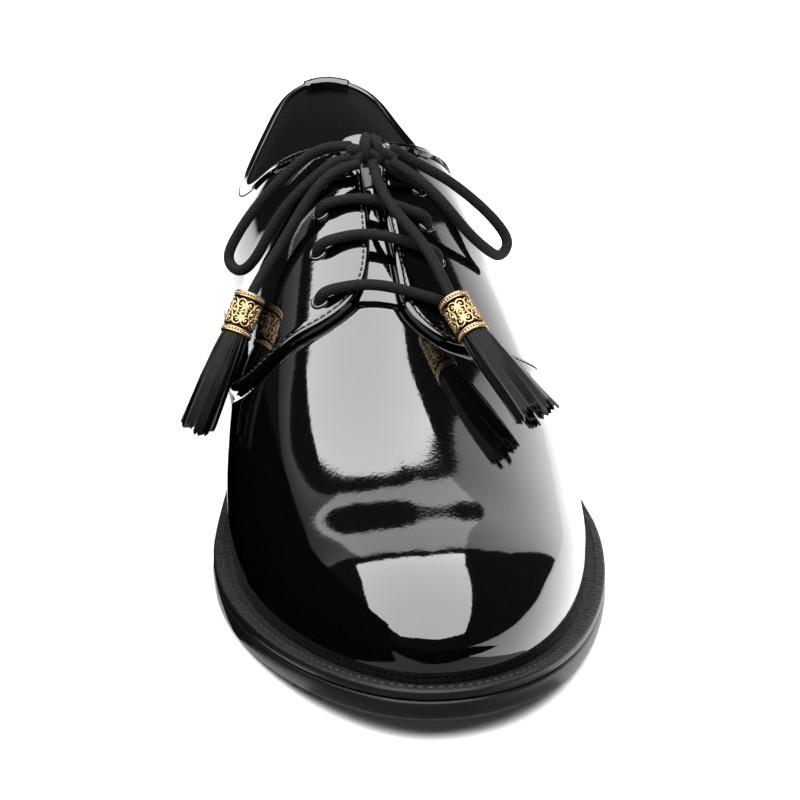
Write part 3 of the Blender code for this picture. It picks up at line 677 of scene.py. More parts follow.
# puts one or two groups into a finish: their heights make the bump, a mask may vary colour and roughness
def addRelief(finish, parts, tones=None, roughs=None):
    tree = finishes[finish].node_tree
    shader = tree.nodes["Principled BSDF"]
    heights, masks = [], []
    for kind, values in parts:
        node = tree.nodes.new("ShaderNodeGroup")
        node.node_tree = groups[kind]
        for label, value in values.items():
            node.inputs[label].default_value = value
        heights.append(node.outputs["Height"])
        masks.append(node.outputs["Mask"])
    height = heights[0] if len(heights) == 1 else sums(tree, "ADD", heights[0], heights[1])
    bump = tree.nodes.new("ShaderNodeBump")
    bump.inputs["Strength"].default_value = 1.0
    bump.inputs["Distance"].default_value = 1.0
    tree.links.new(height, bump.inputs["Height"])
    tree.links.new(bump.outputs["Normal"], shader.inputs["Normal"])
    for values, label in ((tones, "Base Color"), (roughs, "Roughness")):
        if values:
            ramp = tree.nodes.new("ShaderNodeValToRGB")
            for element, value in zip(ramp.color_ramp.elements, values):
                element.color = (*value, 1) if isinstance(value, tuple) else (value, value, value, 1)
            tree.links.new(masks[0], ramp.inputs["Fac"])
            tree.links.new(ramp.outputs["Color"], shader.inputs[label])


finishes = {
    "patent": newFinish("blackPatent", (0.001, 0.001, 0.0011), 0.05,
                        Coat_Weight=0.35, Coat_Roughness=0.03, IOR=1.5),
    "lining": newFinish("blackLining", (0.007, 0.007, 0.007), 0.8, Specular_IOR_Level=0.25),
    "welt": newFinish("blackWelt", (0.003, 0.003, 0.003), 0.5, Specular_IOR_Level=0.16),
    "sole": newFinish("blackSoleEdge", (0.002, 0.002, 0.0022), 0.4, Specular_IOR_Level=0.22),
    "lace": newFinish("waxedLace", (0.003, 0.003, 0.0032), 0.7, Specular_IOR_Level=0.10),
    "gold": newFinish("paleGold", (0.72, 0.50, 0.22), 0.26, Metallic=1.0),
    "fringe": newFinish("fringeLeather", (0.0009, 0.0009, 0.001), 0.3, Specular_IOR_Level=0.07),
    "cut": newFinish("cutLeather", (0.05, 0.05, 0.05), 0.8),
    "thread": newFinish("blackThread", (0.005, 0.005, 0.005), 0.55, Specular_IOR_Level=0.3)}


# the groups with a finish's own values
def uneven(broadScale, broadHeight, fineScale, fineHeight):
    return "uneven", {"Broad Scale": broadScale, "Broad Height": broadHeight,
                      "Fine Scale": fineScale, "Fine Height": fineHeight}


def pebbles(scale, height):
    return "pebbles", {"Scale": scale, "Height": height}


braid = ("braid", {"Pitch": 1.05, "Strands": 10, "Height": 0.00022})
addRelief("patent", [uneven(70, 0.00004, 1000, 0.000012)], roughs=(0.03, 0.06))
# painted shade on the lining: the tone ramp follows the pebble mask, so the gaps between pebbles are darker than the
# pebble tops
addRelief("lining", [pebbles(1300, 0.00012)], tones=(0.004, 0.011))
# painted highlight and shade on the welt top: the tone ramp makes each pebble's top lighter and the gaps between
# pebbles near black
addRelief("welt", [pebbles(1150, 0.00025)], tones=(0.0004, (0.0065, 0.0065, 0.007)), roughs=(0.7, 0.42))
addRelief("sole", [uneven(120, 0.00006, 1500, 0.00002)],
          tones=((0.0014, 0.0014, 0.0016), (0.0028, 0.0028, 0.003)), roughs=(0.34, 0.48))
# painted shade on the lace: the tone ramp follows the braid mask, darkening the grooves between strands and leaving
# the strand crests lighter
addRelief("lace", [braid, uneven(300, 0.00003, 3500, 0.00005)],
          tones=(0.0005, (0.0048, 0.0048, 0.005)), roughs=(0.85, 0.62))
addRelief("gold", [uneven(500, 0.00008, 2500, 0.00003)],
          tones=((0.13, 0.085, 0.033), (0.43, 0.32, 0.175)), roughs=(0.46, 0.26))
addRelief("fringe", [pebbles(2200, 0.00003)], roughs=(0.40, 0.26))
addRelief("cut", [uneven(900, 0.00005, 4000, 0.00003)], tones=(0.006, 0.045))
addRelief("thread", [uneven(900, 0.00005, 5000, 0.00005)])
print("finishes ready:", len(finishes))

# front edges of the quarters, as marks along the last and distances down from its ridge
frontEdges = {
    medial: columns("along distance", [
        (0.1972, 0.0030), (0.1850, 0.0018), (0.1695, 0.0019), (0.1600, 0.0022), (0.1486, 0.0034),
        (0.1425, 0.0052), (0.1385, 0.0076), (0.1350, 0.0112), (0.1328, 0.0190), (0.1345, 0.0270),
        (0.1372, 0.0385), (0.1420, 0.0475), (0.1530, 0.0590), (0.1700, 0.0720), (0.1950, 0.0900)]),
    lateral: columns("along distance", [
        (0.1972, 0.0030), (0.1850, 0.0020), (0.1695, 0.0024), (0.1580, 0.0034), (0.1460, 0.0042),
        (0.1385, 0.0048), (0.1335, 0.0064), (0.1300, 0.0092), (0.1262, 0.0170), (0.1285, 0.0270),
        (0.1325, 0.0385), (0.1380, 0.0480), (0.1490, 0.0600), (0.1660, 0.0740), (0.1910, 0.0920)])}


# how many points in from its ends the edge's inward way takes on the way that it has there
edgeSettings = {"points": 240, "finer": 4, "topEase": 10, "topWay": (1.0, 1.0),
                "footEase": 14, "footWay": (1.0, 0.6)}


# the edge as places in along and distance, with the way into the leather at each place
def frontEdge(side, count):
    s = edgeSettings
    points = np.stack([frontEdges[side]["along"], frontEdges[side]["distance"]], -1)
    travelled = travelledAlong(points)
    marks = np.linspace(0, travelled[-1], count * s["finer"])
    line = np.stack([smoothCurve(travelled, points[:, axis])(marks) for axis in (0, 1)], -1)
    reachesWelt = np.array([d >= travelRow(side, a)[-1] for a, d in line])
    stop = int(np.argmax(reachesWelt)) if reachesWelt.any() else len(line)
    line = even(line[:stop + 1], count)
    way = unit(np.gradient(line, axis=0))
    inside = np.stack([way[:, 1], -way[:, 0]], -1)
    fromTop = ease(np.arange(count) / s["topEase"])[:, None]
    fromFoot = ease((count - 1 - np.arange(count)) / s["footEase"])[:, None]
    inside = inside * fromTop + np.array(s["topWay"]) * (1 - fromTop)
    inside = inside * fromFoot + np.array(s["footWay"]) * (1 - fromFoot)
    return line, inside


# all points of both edges, with their flat places and the way into the quarter
edgeSpots, edgeFlat, edgeInside = [], [], []
for side in (lateral, medial):
    line, inside = frontEdge(side, edgeSettings["points"])
    edgeSpots.append(lastFace(side, line[:, 0], heightAt(side, line[:, 0], line[:, 1])))
    edgeFlat.append(line * np.array([1, side]))
    edgeInside.append(inside * np.array([1, side]))
edgeSpots, edgeFlat, edgeInside = [np.concatenate(part) for part in (edgeSpots, edgeFlat, edgeInside)]


# distance in front of the nearest quarter edge, negative under a quarter
def aheadOfEdge(points, flat):
    ahead = np.zeros(len(points))
    for k, (point, place) in enumerate(zip(points, flat)):
        gaps = np.linalg.norm(edgeSpots - point, axis=1)
        nearest = gaps.argmin()
        isUnder = (place - edgeFlat[nearest]) @ edgeInside[nearest] > 0
        ahead[k] = -gaps[nearest] if isUnder else gaps[nearest]
    return ahead


# vamp: covers the toe with two flat steps behind it, sinks in a trough along the quarters and at the throat,
# and runs on under them
vampSettings = {"lift": -0.00045, "thick": 0.0012, "toeEnd": 0.10, "throat": 0.1370, "end": 0.205,
                "toeColumns": 62, "ballColumns": 38, "underColumns": 42, "rows": 104, "clear": 0.0125,
                "trough": 0.0017, "troughReach": 0.0036, "troughUnder": 0.008, "throatHalf": 0.009,
                "footReach": 0.020, "footShare": 0.20, "flatHalf": 0.016, "flatFade": 0.018,
                "merge": 0.00015, "slack": 0.000001, "smooth": 50}
flatSteps = columns("mark reach depth", [(0.0545, 0.0110, 0.00057), (0.0385, 0.0055, 0.00022)])
vampMarks = np.concatenate([
    np.linspace(0, vampSettings["toeEnd"], vampSettings["toeColumns"]),
    np.linspace(vampSettings["toeEnd"], vampSettings["throat"], vampSettings["ballColumns"])[1:],
    np.linspace(vampSettings["throat"], vampSettings["end"], vampSettings["underColumns"])[1:]])


def vampForm(side):
    s = vampSettings

    def form(first, second):
        along = vampMarks[indexOf(first, len(vampMarks))]
        distance = distanceAt(side, along, second)
        ahead = aheadOfEdge(lastFace(side, along, second), np.stack([along, side * distance], -1))
        atThroat = ease(1 - (s["throat"] - along) / s["troughReach"])
        atThroat = atThroat * (1 - ease((distance - s["throatHalf"]) / s["throatHalf"]))
        sunk = np.maximum(ease(1 - ahead / s["troughReach"]), atThroat)
        sunk = sunk * (1 - ease((-ahead - s["troughUnder"]) / s["troughUnder"]))
        foot = np.clip(along / s["footReach"], 0, 1) * np.clip(second / s["footShare"], 0, 1)
        form.throat = (along >= s["throat"] - s["slack"]) & (distance < s["clear"])
        flat = (along[:, None] - flatSteps["mark"]) / flatSteps["reach"]
        step = -(flatSteps["depth"] * flat * np.exp(-flat ** 2 / 2)).sum(1)
        step = step * (1 - ease((distance - s["flatHalf"]) / s["flatFade"]))
        return onLast(side, along, second, (s["lift"] + step - s["trough"] * sunk) * foot)

    return form


vampHalves = []
for side in (lateral, medial):
    form = vampForm(side)
    half = layGrid("vampHalf", len(vampMarks) - 1, vampSettings["rows"], form)
    vampHalves.append(removeFaces(half, form.throat))
vamp = weld(joinAs("vamp", vampHalves), vampSettings["merge"])
faceAway(vamp, insidePoints["toe"])
shape(vamp, "SOLIDIFY", thickness=vampSettings["thick"], offset=-1.0)
settle(vamp, finishes["patent"], "patent_leather", "upper", angle=vampSettings["smooth"])
print("vamp done")

# quarters: each has its front edge from the top of the facing, round the flare and down to the welt
quarterSettings = {"lift": 0.00045, "thick": 0.0010, "edgeRound": 0.0014, "edgeDrop": 0.0020,
                   "stitchIn": 0.0018, "grooveDepth": 0.00014, "grooveHalf": 0.0004,
                   "rows": 220, "backColumns": 105, "smooth": 50}
ribbonMillimetres = np.array([0, 0.05, 0.13, 0.25, 0.42, 0.65, 0.95, 1.2, 1.5, 1.8, 2.1, 2.5, 3.2, 4.2])
ribbonSteps = ribbonMillimetres / 1000  # columns close together along the rounded edge


def edgeLift(width):
    s = quarterSettings
    past = np.clip(1 - width / s["edgeRound"], 0, 1)
    groove = s["grooveDepth"] * np.exp(-((width - s["stitchIn"]) / s["grooveHalf"]) ** 2)
    return s["lift"] - s["edgeDrop"] * (1 - np.sqrt(1 - past ** 2)) - groove


def quarterForm(side):
    s = quarterSettings
    rows = s["rows"] + 1
    line, inside = frontEdge(side, rows)
    ribbon = line[:, None, :] + inside[:, None, :] * ribbonSteps[None, :, None]
    shares = heightAt(side, ribbon[..., 0], ribbon[..., 1])
    shares[0] = 1
    shares[-1] = 0
    back = np.linspace(0, 1, s["backColumns"] + 1)[1:]
    heelShares = np.linspace(1, 0, rows)
    along = ribbon[:, -1:, 0] + (lastSizes["heelMark"] - ribbon[:, -1:, 0]) * back
    height = shares[:, -1:] + (heelShares[:, None] - shares[:, -1:]) * back
    along = np.concatenate([ribbon[..., 0], along], 1)
    height = np.concatenate([shares, height], 1)
    lift = np.concatenate([edgeLift(ribbonSteps), 0 * back + s["lift"]])

    def form(first, second):
        row = indexOf(first, rows)
        column = indexOf(second, along.shape[1])
        return onLast(side, along[row, column], height[row, column], lift[column])

    return form, along.shape[1] - 1


for side, sideName in ((lateral, "lateral"), (medial, "medial")):
    form, columnCount = quarterForm(side)
    quarter = layGrid("quarter_" + sideName, quarterSettings["rows"], columnCount, form)
    faceAway(quarter, insidePoints["waist"])
    shape(quarter, "SOLIDIFY", thickness=quarterSettings["thick"], offset=-1.0)
    settle(quarter, finishes["patent"], "patent_leather", "upper", angle=quarterSettings["smooth"])
print("quarters done")

# lining inside the quarters, thinner towards the topline
liningSettings = {"lift": -0.0019, "deepLift": -0.0034, "topLift": -0.00135, "thick": 0.0005, "start": 0.060,
                  "slot": 0.0175, "slotStart": 0.115, "deepEnd": 0.165, "deepFade": 0.035, "topShare": 0.85,
                  "columns": 120, "rows": 40, "merge": 0.0001, "smooth": 50}


def liningForm(side):
    s = liningSettings

    def form(first, second):
        along = s["start"] + (lastSizes["heelMark"] - s["start"]) * first
        distance = distanceAt(side, along, second)
        form.slot = (along > s["slotStart"]) & (along < lastSizes["facingTop"]) & (distance < s["slot"])
        body = s["deepLift"] + (s["lift"] - s["deepLift"]) * ease((along - s["deepEnd"]) / s["deepFade"])
        lift = body + (s["topLift"] - body) * ease((second - s["topShare"]) / (1 - s["topShare"]))
        return onLast(side, along, second, lift)

    return form


liningHalves = []
for side in (lateral, medial):
    form = liningForm(side)
    half = layGrid("liningHalf", liningSettings["columns"], liningSettings["rows"], form)
    liningHalves.append(removeFaces(half, form.slot))
lining = weld(joinAs("lining", liningHalves), liningSettings["merge"])
faceAway(lining, insidePoints["waist"], away=False)
shape(lining, "SOLIDIFY", thickness=liningSettings["thick"], offset=-1.0)
settle(lining, finishes["lining"], "lining_leather", "upper", angle=liningSettings["smooth"])

# rolled binding over the topline, from one facing round the heel to the other
bindingSettings = {"start": 0.1985, "lap": 25, "proud": 0.0001, "below": 0.985, "rows": 10, "columns": 150,
                   "merge": 0.0001, "smooth": 60}
rollMiddle = (quarterSettings["lift"] + liningSettings["topLift"]) / 2
rollRadius = (quarterSettings["lift"] - liningSettings["topLift"]) / 2


# the topline and its way up out of the shoe
def toplineAt(side, along):
    top = lastFace(side, along, 1 + 0 * along)
    return top, unit(top - lastFace(side, along, bindingSettings["below"] + 0 * along))


def bindingForm(side):
    s = bindingSettings

    def form(first, second):
        along = s["start"] + (lastSizes["heelMark"] - s["start"]) * first
        top, up = toplineAt(side, along)
        normal = outward(side, along, 1 + 0 * along)
        radius = rollRadius + s["proud"]
        angle = np.radians(-s["lap"] + (180 + 2 * s["lap"]) * second)[:, None]
        return top + rollMiddle * normal + radius * (np.cos(angle) * normal + np.sin(angle) * up)

    return form


bindings = [layGrid("bindingHalf", bindingSettings["columns"], bindingSettings["rows"], bindingForm(side))
            for side in (lateral, medial)]
binding = weld(joinAs("topline_binding", bindings), bindingSettings["merge"])
settle(binding, finishes["patent"], "patent_leather", angle=bindingSettings["smooth"])

# back strip down the heel seam, folded over the topline into the shoe
stripSettings = {"topHalf": 0.0088, "footHalf": 0.0066, "proud": 0.0007, "edgeShare": 0.10, "inside": 0.025,
                 "innerDrop": 0.0006, "outer": 44, "fold": 8, "inner": 4, "columns": 24, "smooth": 60}
stripRows = stripSettings["outer"] + stripSettings["fold"] + stripSettings["inner"]


def stripHalf(height):
    return stripSettings["footHalf"] + (stripSettings["topHalf"] - stripSettings["footHalf"]) * height


def stripForm(first, second):
    s = stripSettings
    row = indexOf(second, stripRows + 1)
    outer = np.clip(row / s["outer"], 0, 1)
    fold = np.clip((row - s["outer"]) / s["fold"], 0, 1)
    inner = np.clip((row - s["outer"] - s["fold"]) / s["inner"], 0, 1)
    height = outer - s["inside"] * inner
    across = 2 * first - 1
    edge = np.clip((1 - np.abs(across)) / s["edgeShare"], 0, 1)
    along = lastSizes["heelMark"] - np.abs(across) * stripHalf(height)
    proud = s["proud"] * np.sqrt(1 - (1 - edge) ** 2) + bindingSettings["proud"]
    sides = np.where(across >= 0, lateral, medial)
    places = np.zeros((len(first), 3))
    for side in (lateral, medial):
        mine = sides == side
        if not mine.any():
            continue
        base = lastFace(side, along[mine], height[mine])
        normal = outward(side, along[mine], height[mine])
        up = toplineAt(side, along[mine])[1]
        radius = rollRadius + proud[mine]
        angle = math.pi * fold[mine]
        lift = rollMiddle + radius * np.cos(angle) - s["innerDrop"] * inner[mine]
        places[mine] = base + lift[:, None] * normal + (radius * np.sin(angle))[:, None] * up
    return places


strip = layGrid("back_strip", stripSettings["columns"], stripRows, stripForm)
faceAway(strip, insidePoints["heel"])
settle(strip, finishes["patent"], "patent_leather", angle=stripSettings["smooth"])
print("lining, binding and back strip done")

# tongue under the facings, standing above them at its top
tongueSettings = {"thick": 0.0018, "wall": 0.0020, "bend": 0.190, "way": (0.0, 0.884, 0.468), "crowding": 1.5,
                  "columns": 60, "rows": 24, "edge": 0.0006, "edgeFaces": 3, "smooth": 50}
tongueRows = columns("along halfWidth inset", [
    (0.1240, 0.0120, 0.0005), (0.1400, 0.0150, 0.0005), (0.1650, 0.0165, 0.0005),
    (0.1800, 0.0160, 0.0013), (0.1900, 0.0150, 0.0026), (0.1980, 0.0135, 0.0032),
    (0.2025, 0.0100, 0.0034), (0.2040, 0.0065, 0.0034)])


def tongueForm(first, second):
    marks = tongueRows["along"]
    start, stop = marks[0], marks[-1]
    along = start + (stop - start) * (1 - (1 - first) ** tongueSettings["crowding"])
    places = []
    for mark, share in zip(along, 2 * second - 1):
        halfWidth = np.interp(mark, marks, tongueRows["halfWidth"])
        bent = min(mark, tongueSettings["bend"])
        lift = -tongueSettings["wall"] - np.interp(mark, marks, tongueRows["inset"])
        inside = onLeather(bent, share * halfWidth, lift)
        places.append(inside + (mark - bent) * np.array(tongueSettings["way"]))
    return np.array(places)


tongue = layGrid("tongue", tongueSettings["columns"], tongueSettings["rows"], tongueForm)
faceAway(tongue, insidePoints["floor"])
shape(tongue, "SOLIDIFY", thickness=tongueSettings["thick"], offset=-1.0)
shape(tongue, "BEVEL", width=tongueSettings["edge"], segments=tongueSettings["edgeFaces"],
      limit_method="ANGLE", angle_limit=math.radians(tongueSettings["smooth"]))
settle(tongue, finishes["patent"], "patent_leather", "tongue", angle=tongueSettings["smooth"])
print("tongue done")


# sole pieces: rows of a profile, each a share of the ledge, an offset outwards and a height
soleSettings = {"capRows": 10, "merge": 0.00003, "flatTop": 0.75, "smooth": 60}


def ringForm(rows, base):
    lines = np.array([roundLine(share, extra) for share, extra, height in rows])
    heights = np.array([height for share, extra, height in rows])

    def form(first, second):
        row = indexOf(second, len(rows))
        spot = indexOf(first, lines.shape[1])
        flat = lines[row, spot]
        return np.column_stack([flat, underside(flat[:, 1]) + base + heights[row]])

    return form, lines.shape[1] - 1


def capForm(share, extra, height):
    halves = {side: offsetLine(side, share * ledgeOf(side) + extra) for side in (lateral, medial)}

    def form(first, second):
        spot = indexOf(first, outlineCount)
        flat = halves[medial][spot] + (halves[lateral][spot] - halves[medial][spot]) * second[:, None]
        return np.column_stack([flat, underside(flat[:, 1]) + height])

    return form


def soleLayer(name, rows, base):
    form, count = ringForm(rows, base)
    sheets = [layGrid(name + "Side", count, len(rows) - 1, form)]
    for share, extra, height in (rows[0], rows[-1]):
        cap = capForm(share, extra, base + height)
        sheets.append(layGrid(name + "Cap", outlineCount - 1, soleSettings["capRows"], cap))
    return weld(joinAs(name, sheets), soleSettings["merge"])


weltBase = lastSizes["outsoleThick"] + lastSizes["gap"]
weltTop = lastSizes["weltThick"]
weltRows = [(0, -lastSizes["ringInset"], 0.0), (1, -0.0005, 0.0), (1, -0.0001, 0.0003), (1, 0.0, 0.0008),
            (1, 0.0, weltTop - 0.0009), (1, -0.0002, weltTop - 0.0003), (1, -0.0007, weltTop),
            (0.55, 0.0, weltTop + 0.0001), (0.25, 0.0, weltTop), (0, 0.0003, weltTop - 0.0001),
            (0, -0.0009, weltTop + 0.0004), (0, -lastSizes["ringInset"], weltTop + 0.0004),
            (0, -lastSizes["ringInset"], 0.0)]
weltForm, weltCount = ringForm(weltRows, weltBase)
welt = weld(layGrid("welt", weltCount, len(weltRows) - 1, weltForm), soleSettings["merge"])
welt.data.materials.append(finishes["sole"])
welt.data.materials.append(finishes["welt"])
for polygon in welt.data.polygons:
    polygon.material_index = int(polygon.normal.z > soleSettings["flatTop"])
settle(welt, finishes["welt"], "welt_leather", "welt", angle=soleSettings["smooth"])

soleThick = lastSizes["outsoleThick"]
soleRows = [(1, -0.0008, soleThick), (1, -0.0002, soleThick - 0.0003), (1, 0.0, soleThick - 0.0009),
            (1, 0.0001, soleThick * 0.5), (1, -0.0001, 0.0014), (1, -0.0005, 0.0006),
            (1, -0.0012, 0.0001), (1, -0.0022, 0.0)]
outsole = soleLayer("outsole", soleRows, 0.0)
settle(outsole, finishes["sole"], "sole_rubber", "outsole", angle=soleSettings["smooth"])

insoleThick = lastSizes["insoleThick"]
insoleInset = -lastSizes["ringInset"] - 1.5 * lastSizes["gap"]
insoleRows = [(0, insoleInset, 0.0), (0, insoleInset, insoleThick - 0.0008),
              (0, insoleInset - 0.0003, insoleThick - 0.0002), (0, insoleInset - 0.0010, insoleThick)]
insole = soleLayer("insole", insoleRows, weltBase)
settle(insole, finishes["lining"], "lining_leather", "insole", angle=soleSettings["smooth"])

# heel: stacked lifts with fine grooves between them, on a flat top piece
heelSettings = {"count": 160, "backPoints": 80, "frontPoints": 24, "hollow": 0.0022, "head": (0.0, 0.04),
                "grooves": (0.30, 0.62), "grooveHalf": 0.03, "grooveDepth": 0.00022,
                "foot": (0.72, 0.92, 0.97, 1.0), "edge": 0.0006, "edgeStart": 0.95, "smooth": 35}


def heelLine():
    breast = lastSizes["heelBreast"]
    sides = []
    for side in (lateral, medial):
        line = offsetLine(side, ledgeOf(side))
        behind = line[line[:, 1] > breast]
        forwards = line[:heelSettings["backPoints"]][::-1]
        cut = np.interp(breast, forwards[:, 1], forwards[:, 0])
        sides.append(np.concatenate([behind, [[cut, breast]]]))
    front = np.linspace(sides[0][-1], sides[1][-1], heelSettings["frontPoints"])[1:-1]
    turn = np.linspace(0, math.pi, heelSettings["frontPoints"])[1:-1]
    front[:, 1] += heelSettings["hollow"] * np.sin(turn)
    loop = np.concatenate([sides[0], front, sides[1][::-1]])
    return even(loop, heelSettings["count"])


heelOutline = heelLine()
heelLevels = list(heelSettings["head"])
for mark in heelSettings["grooves"]:
    heelLevels += [mark - heelSettings["grooveHalf"], mark, mark + heelSettings["grooveHalf"]]
heelLevels += heelSettings["foot"]


def heelForm(first, second):
    level = np.array(heelLevels)[indexOf(second, len(heelLevels))]
    flat = heelOutline[indexOf(first, len(heelOutline))]
    centre = heelOutline.mean(0)
    half = np.abs(heelOutline - centre).max(0)
    s = heelSettings
    groove = s["grooveDepth"] * np.isin(level, s["grooves"])
    foot = s["edge"] * np.clip((level - s["edgeStart"]) / (1 - s["edgeStart"]), 0, 1)
    shrink = (lastSizes["heelInset"] * level + groove + foot)[:, None] / half
    moved = centre + (flat - centre) * (1 - shrink)
    top = underside(flat[:, 1]) - lastSizes["gap"]
    return np.column_stack([moved, top * (1 - level)])


heel = layGrid("heel", len(heelOutline) - 1, len(heelLevels) - 1, heelForm)
weld(heel, soleSettings["merge"], fillEnds=True)
settle(heel, finishes["sole"], "sole_rubber", "heel", angle=heelSettings["smooth"])
print("sole and heel done")

# stitches: one small thread loop, copied along each seam
stitchSettings = {"thread": 0.00032, "fill": 0.74, "points": 260, "ends": 6,
                  "quarterStep": 0.0021, "quarterSink": -0.00006,
                  "toplineStart": 0.203, "toplineEnd": 0.3365, "toplineIn": 0.0032, "toplineSink": -0.00004,
                  "stripStep": 0.0022, "stripLow": 0.04, "stripHigh": 0.94, "stripIn": 0.78, "stripPoints": 120,
                  "weltStep": 0.0026, "weltShare": 0.52, "weltLift": 0.00012}


def stitchTemplate():
    bpy.ops.mesh.primitive_uv_sphere_add(segments=7, ring_count=5, radius=1)
    return bpy.context.object


def sewRow(name, line, normals, step, sink=0.0):
    travelled = travelledAlong(line)
    marks = np.arange(step / 2, travelled[-1], step)
    places = readOff(marks, travelled, line)
    up = unit(readOff(marks, travelled, normals))
    way = unit(readOff(marks, travelled, np.gradient(line, travelled, axis=0)))
    aside = np.cross(up, way)
    thread = stitchSettings["thread"]
    axes = np.stack([way * step * stitchSettings["fill"] / 2, aside * thread, up * thread], 1)
    piece = scatter(name, stitchTemplate(), places + up * sink, axes)
    return settle(piece, finishes["thread"], "lace_cord")


# the seams of one side: name, marks along the last, shares of its height, lift, step and sink
def seamsOf(side):
    s = stitchSettings
    line, inside = frontEdge(side, s["points"])
    edge = (line + inside * quarterSettings["stitchIn"])[s["ends"]:-s["ends"]]
    edgeShares = heightAt(side, edge[:, 0], edge[:, 1])
    topMarks = np.linspace(s["toplineStart"], s["toplineEnd"], s["points"])
    topDistance = np.array([travelRow(side, mark)[0] + s["toplineIn"] for mark in topMarks])
    topShares = heightAt(side, topMarks, topDistance)
    stripShares = np.linspace(s["stripLow"], s["stripHigh"], s["stripPoints"])
    stripMarks = lastSizes["heelMark"] - stripHalf(stripShares) * s["stripIn"]
    lift = quarterSettings["lift"]
    stripLift = lift + stripSettings["proud"] + bindingSettings["proud"]
    return [("quarter_stitches_", edge[:, 0], edgeShares, lift, s["quarterStep"], s["quarterSink"]),
            ("topline_stitches_", topMarks, topShares, lift, s["quarterStep"], s["toplineSink"]),
            ("strip_stitches_", stripMarks, stripShares, stripLift, s["stripStep"], 0.0)]


for side, sideName in ((lateral, "lateral"), (medial, "medial")):
    for seamName, marks, shares, lift, step, sink in seamsOf(side):
        seam = onLast(side, marks, shares, lift)
        sewRow(seamName + sideName, seam, outward(side, marks, shares), step, sink)
weltLine = roundLine(stitchSettings["weltShare"], 0.0)
weltHeight = underside(weltLine[:, 1]) + weltBase + weltTop + stitchSettings["weltLift"]
weltSeam = np.column_stack([weltLine, weltHeight])
sewRow("welt_stitches", weltSeam, np.tile([0.0, 0.0, 1.0], (len(weltSeam), 1)), stitchSettings["weltStep"])
print("stitches done")

# lace: straight bars, bow and ends, all of one round waxed cord
laceSettings = {"diameter": 0.0030, "sides": 14, "spacing": 0.0009, "lift": 0.0020, "endLift": 0.0024,
                "bendLift": 0.0012, "rimLift": -0.0008, "under": -0.0024, "merge": 0.00001,
                "startAside": (0.31, 0.17, 0.93)}
laceRadius = laceSettings["diameter"] / 2
eyeletRows = columns("medialAlong lateralAlong across", [
    (0.1405, 0.1375, 0.0180), (0.1582, 0.1565, 0.0172), (0.1720, 0.1690, 0.0152), (0.1845, 0.1820, 0.0142)])
eyeletColumns = ((lateral, "lateralAlong"), (medial, "medialAlong"))


# a smooth path through a few places, in even steps
def throughPoints(places):
    places = np.asarray(places, float)
    travelled = travelledAlong(places)
    marks = np.linspace(0, travelled[-1], max(6, int(travelled[-1] / laceSettings["spacing"])))
    return np.stack([smoothCurve(travelled, places[:, axis])(marks) for axis in range(3)], -1)


def pathLength(path):
    return float(np.linalg.norm(np.diff(path, axis=0), axis=1).sum())


# frames carried along a path without twist
def carriedFrames(path):
    way = unit(np.gradient(path, axis=0))
    aside = np.zeros_like(way)
    aside[0] = unit(np.cross(way[0], laceSettings["startAside"]))
    for k in range(1, len(path)):
        aside[k] = unit(aside[k - 1] - way[k] * (aside[k - 1] @ way[k]))
    return way, aside, np.cross(way, aside)


# a closed round tube on a path, its map in millimetres along and turns round
def cordTube(name, path, radius, sides=laceSettings["sides"]):
    way, aside, other = carriedFrames(path)

    def form(first, second):
        spot = indexOf(first, len(path))
        angle = 2 * math.pi * second[:, None]
        return path[spot] + radius * (np.cos(angle) * aside[spot] + np.sin(angle) * other[spot])

    tube = layGrid(name, len(path) - 1, sides, form)
    uvs = np.empty(len(tube.data.loops) * 2)
    tube.data.uv_layers[0].data.foreach_get("uv", uvs)
    uvs = uvs.reshape(-1, 2) * np.array([pathLength(path) * 1000, 1])
    tube.data.uv_layers[0].data.foreach_set("uv", uvs.ravel())
    return weld(tube, laceSettings["merge"], fillEnds=True)


# half a bar from its middle out: share of the way to the eyelet, and lift over the leather
halfBar = [(0.33, laceSettings["lift"]), (0.66, laceSettings["endLift"]), (0.90, laceSettings["endLift"]),
           (0.985, laceSettings["bendLift"]), (1.0, laceSettings["rimLift"]), (0.93, laceSettings["under"])]
barRoute = [(-share, lift) for share, lift in halfBar[::-1]] + [(0.0, laceSettings["lift"])] + halfBar
for row in range(3):
    medialMark, lateralMark = eyeletRows["medialAlong"][row], eyeletRows["lateralAlong"][row]
    middleMark = (medialMark + lateralMark) / 2
    slant = (lateralMark - medialMark) / 2
    width = eyeletRows["across"][row]
    places = [onLeather(middleMark + slant * share, width * share, lift) for share, lift in barRoute]
    bar = cordTube("lace_bar_over_" + str(row + 1), throughPoints(places), laceRadius)
    settle(bar, finishes["lace"], "lace_cord", "lace_bar_" + str(row + 1))

# eyelet rims, pressed leather round each hole
eyeletSettings = {"ring": 0.0021, "thick": 0.00055, "ringFaces": 28, "thickFaces": 10}
rims = []
for row in range(4):
    for side, column in eyeletColumns:
        along = np.array([eyeletRows[column][row]])
        share = heightAt(side, along, [eyeletRows["across"][row]])
        place = onLast(side, along, share, quarterSettings["lift"])[0] - middle
        axis = Vector(outward(side, along, share)[0])
        bpy.ops.mesh.primitive_torus_add(
            major_radius=eyeletSettings["ring"], minor_radius=eyeletSettings["thick"],
            major_segments=eyeletSettings["ringFaces"], minor_segments=eyeletSettings["thickFaces"],
            location=place, rotation=axis.to_track_quat("Z", "Y").to_euler())
        bpy.ops.object.transform_apply(location=True, rotation=True, scale=True)
        rims.append(bpy.context.object)
eyelets = joinAs("eyelet_rims", rims)
settle(eyelets, finishes["patent"], "patent_leather")

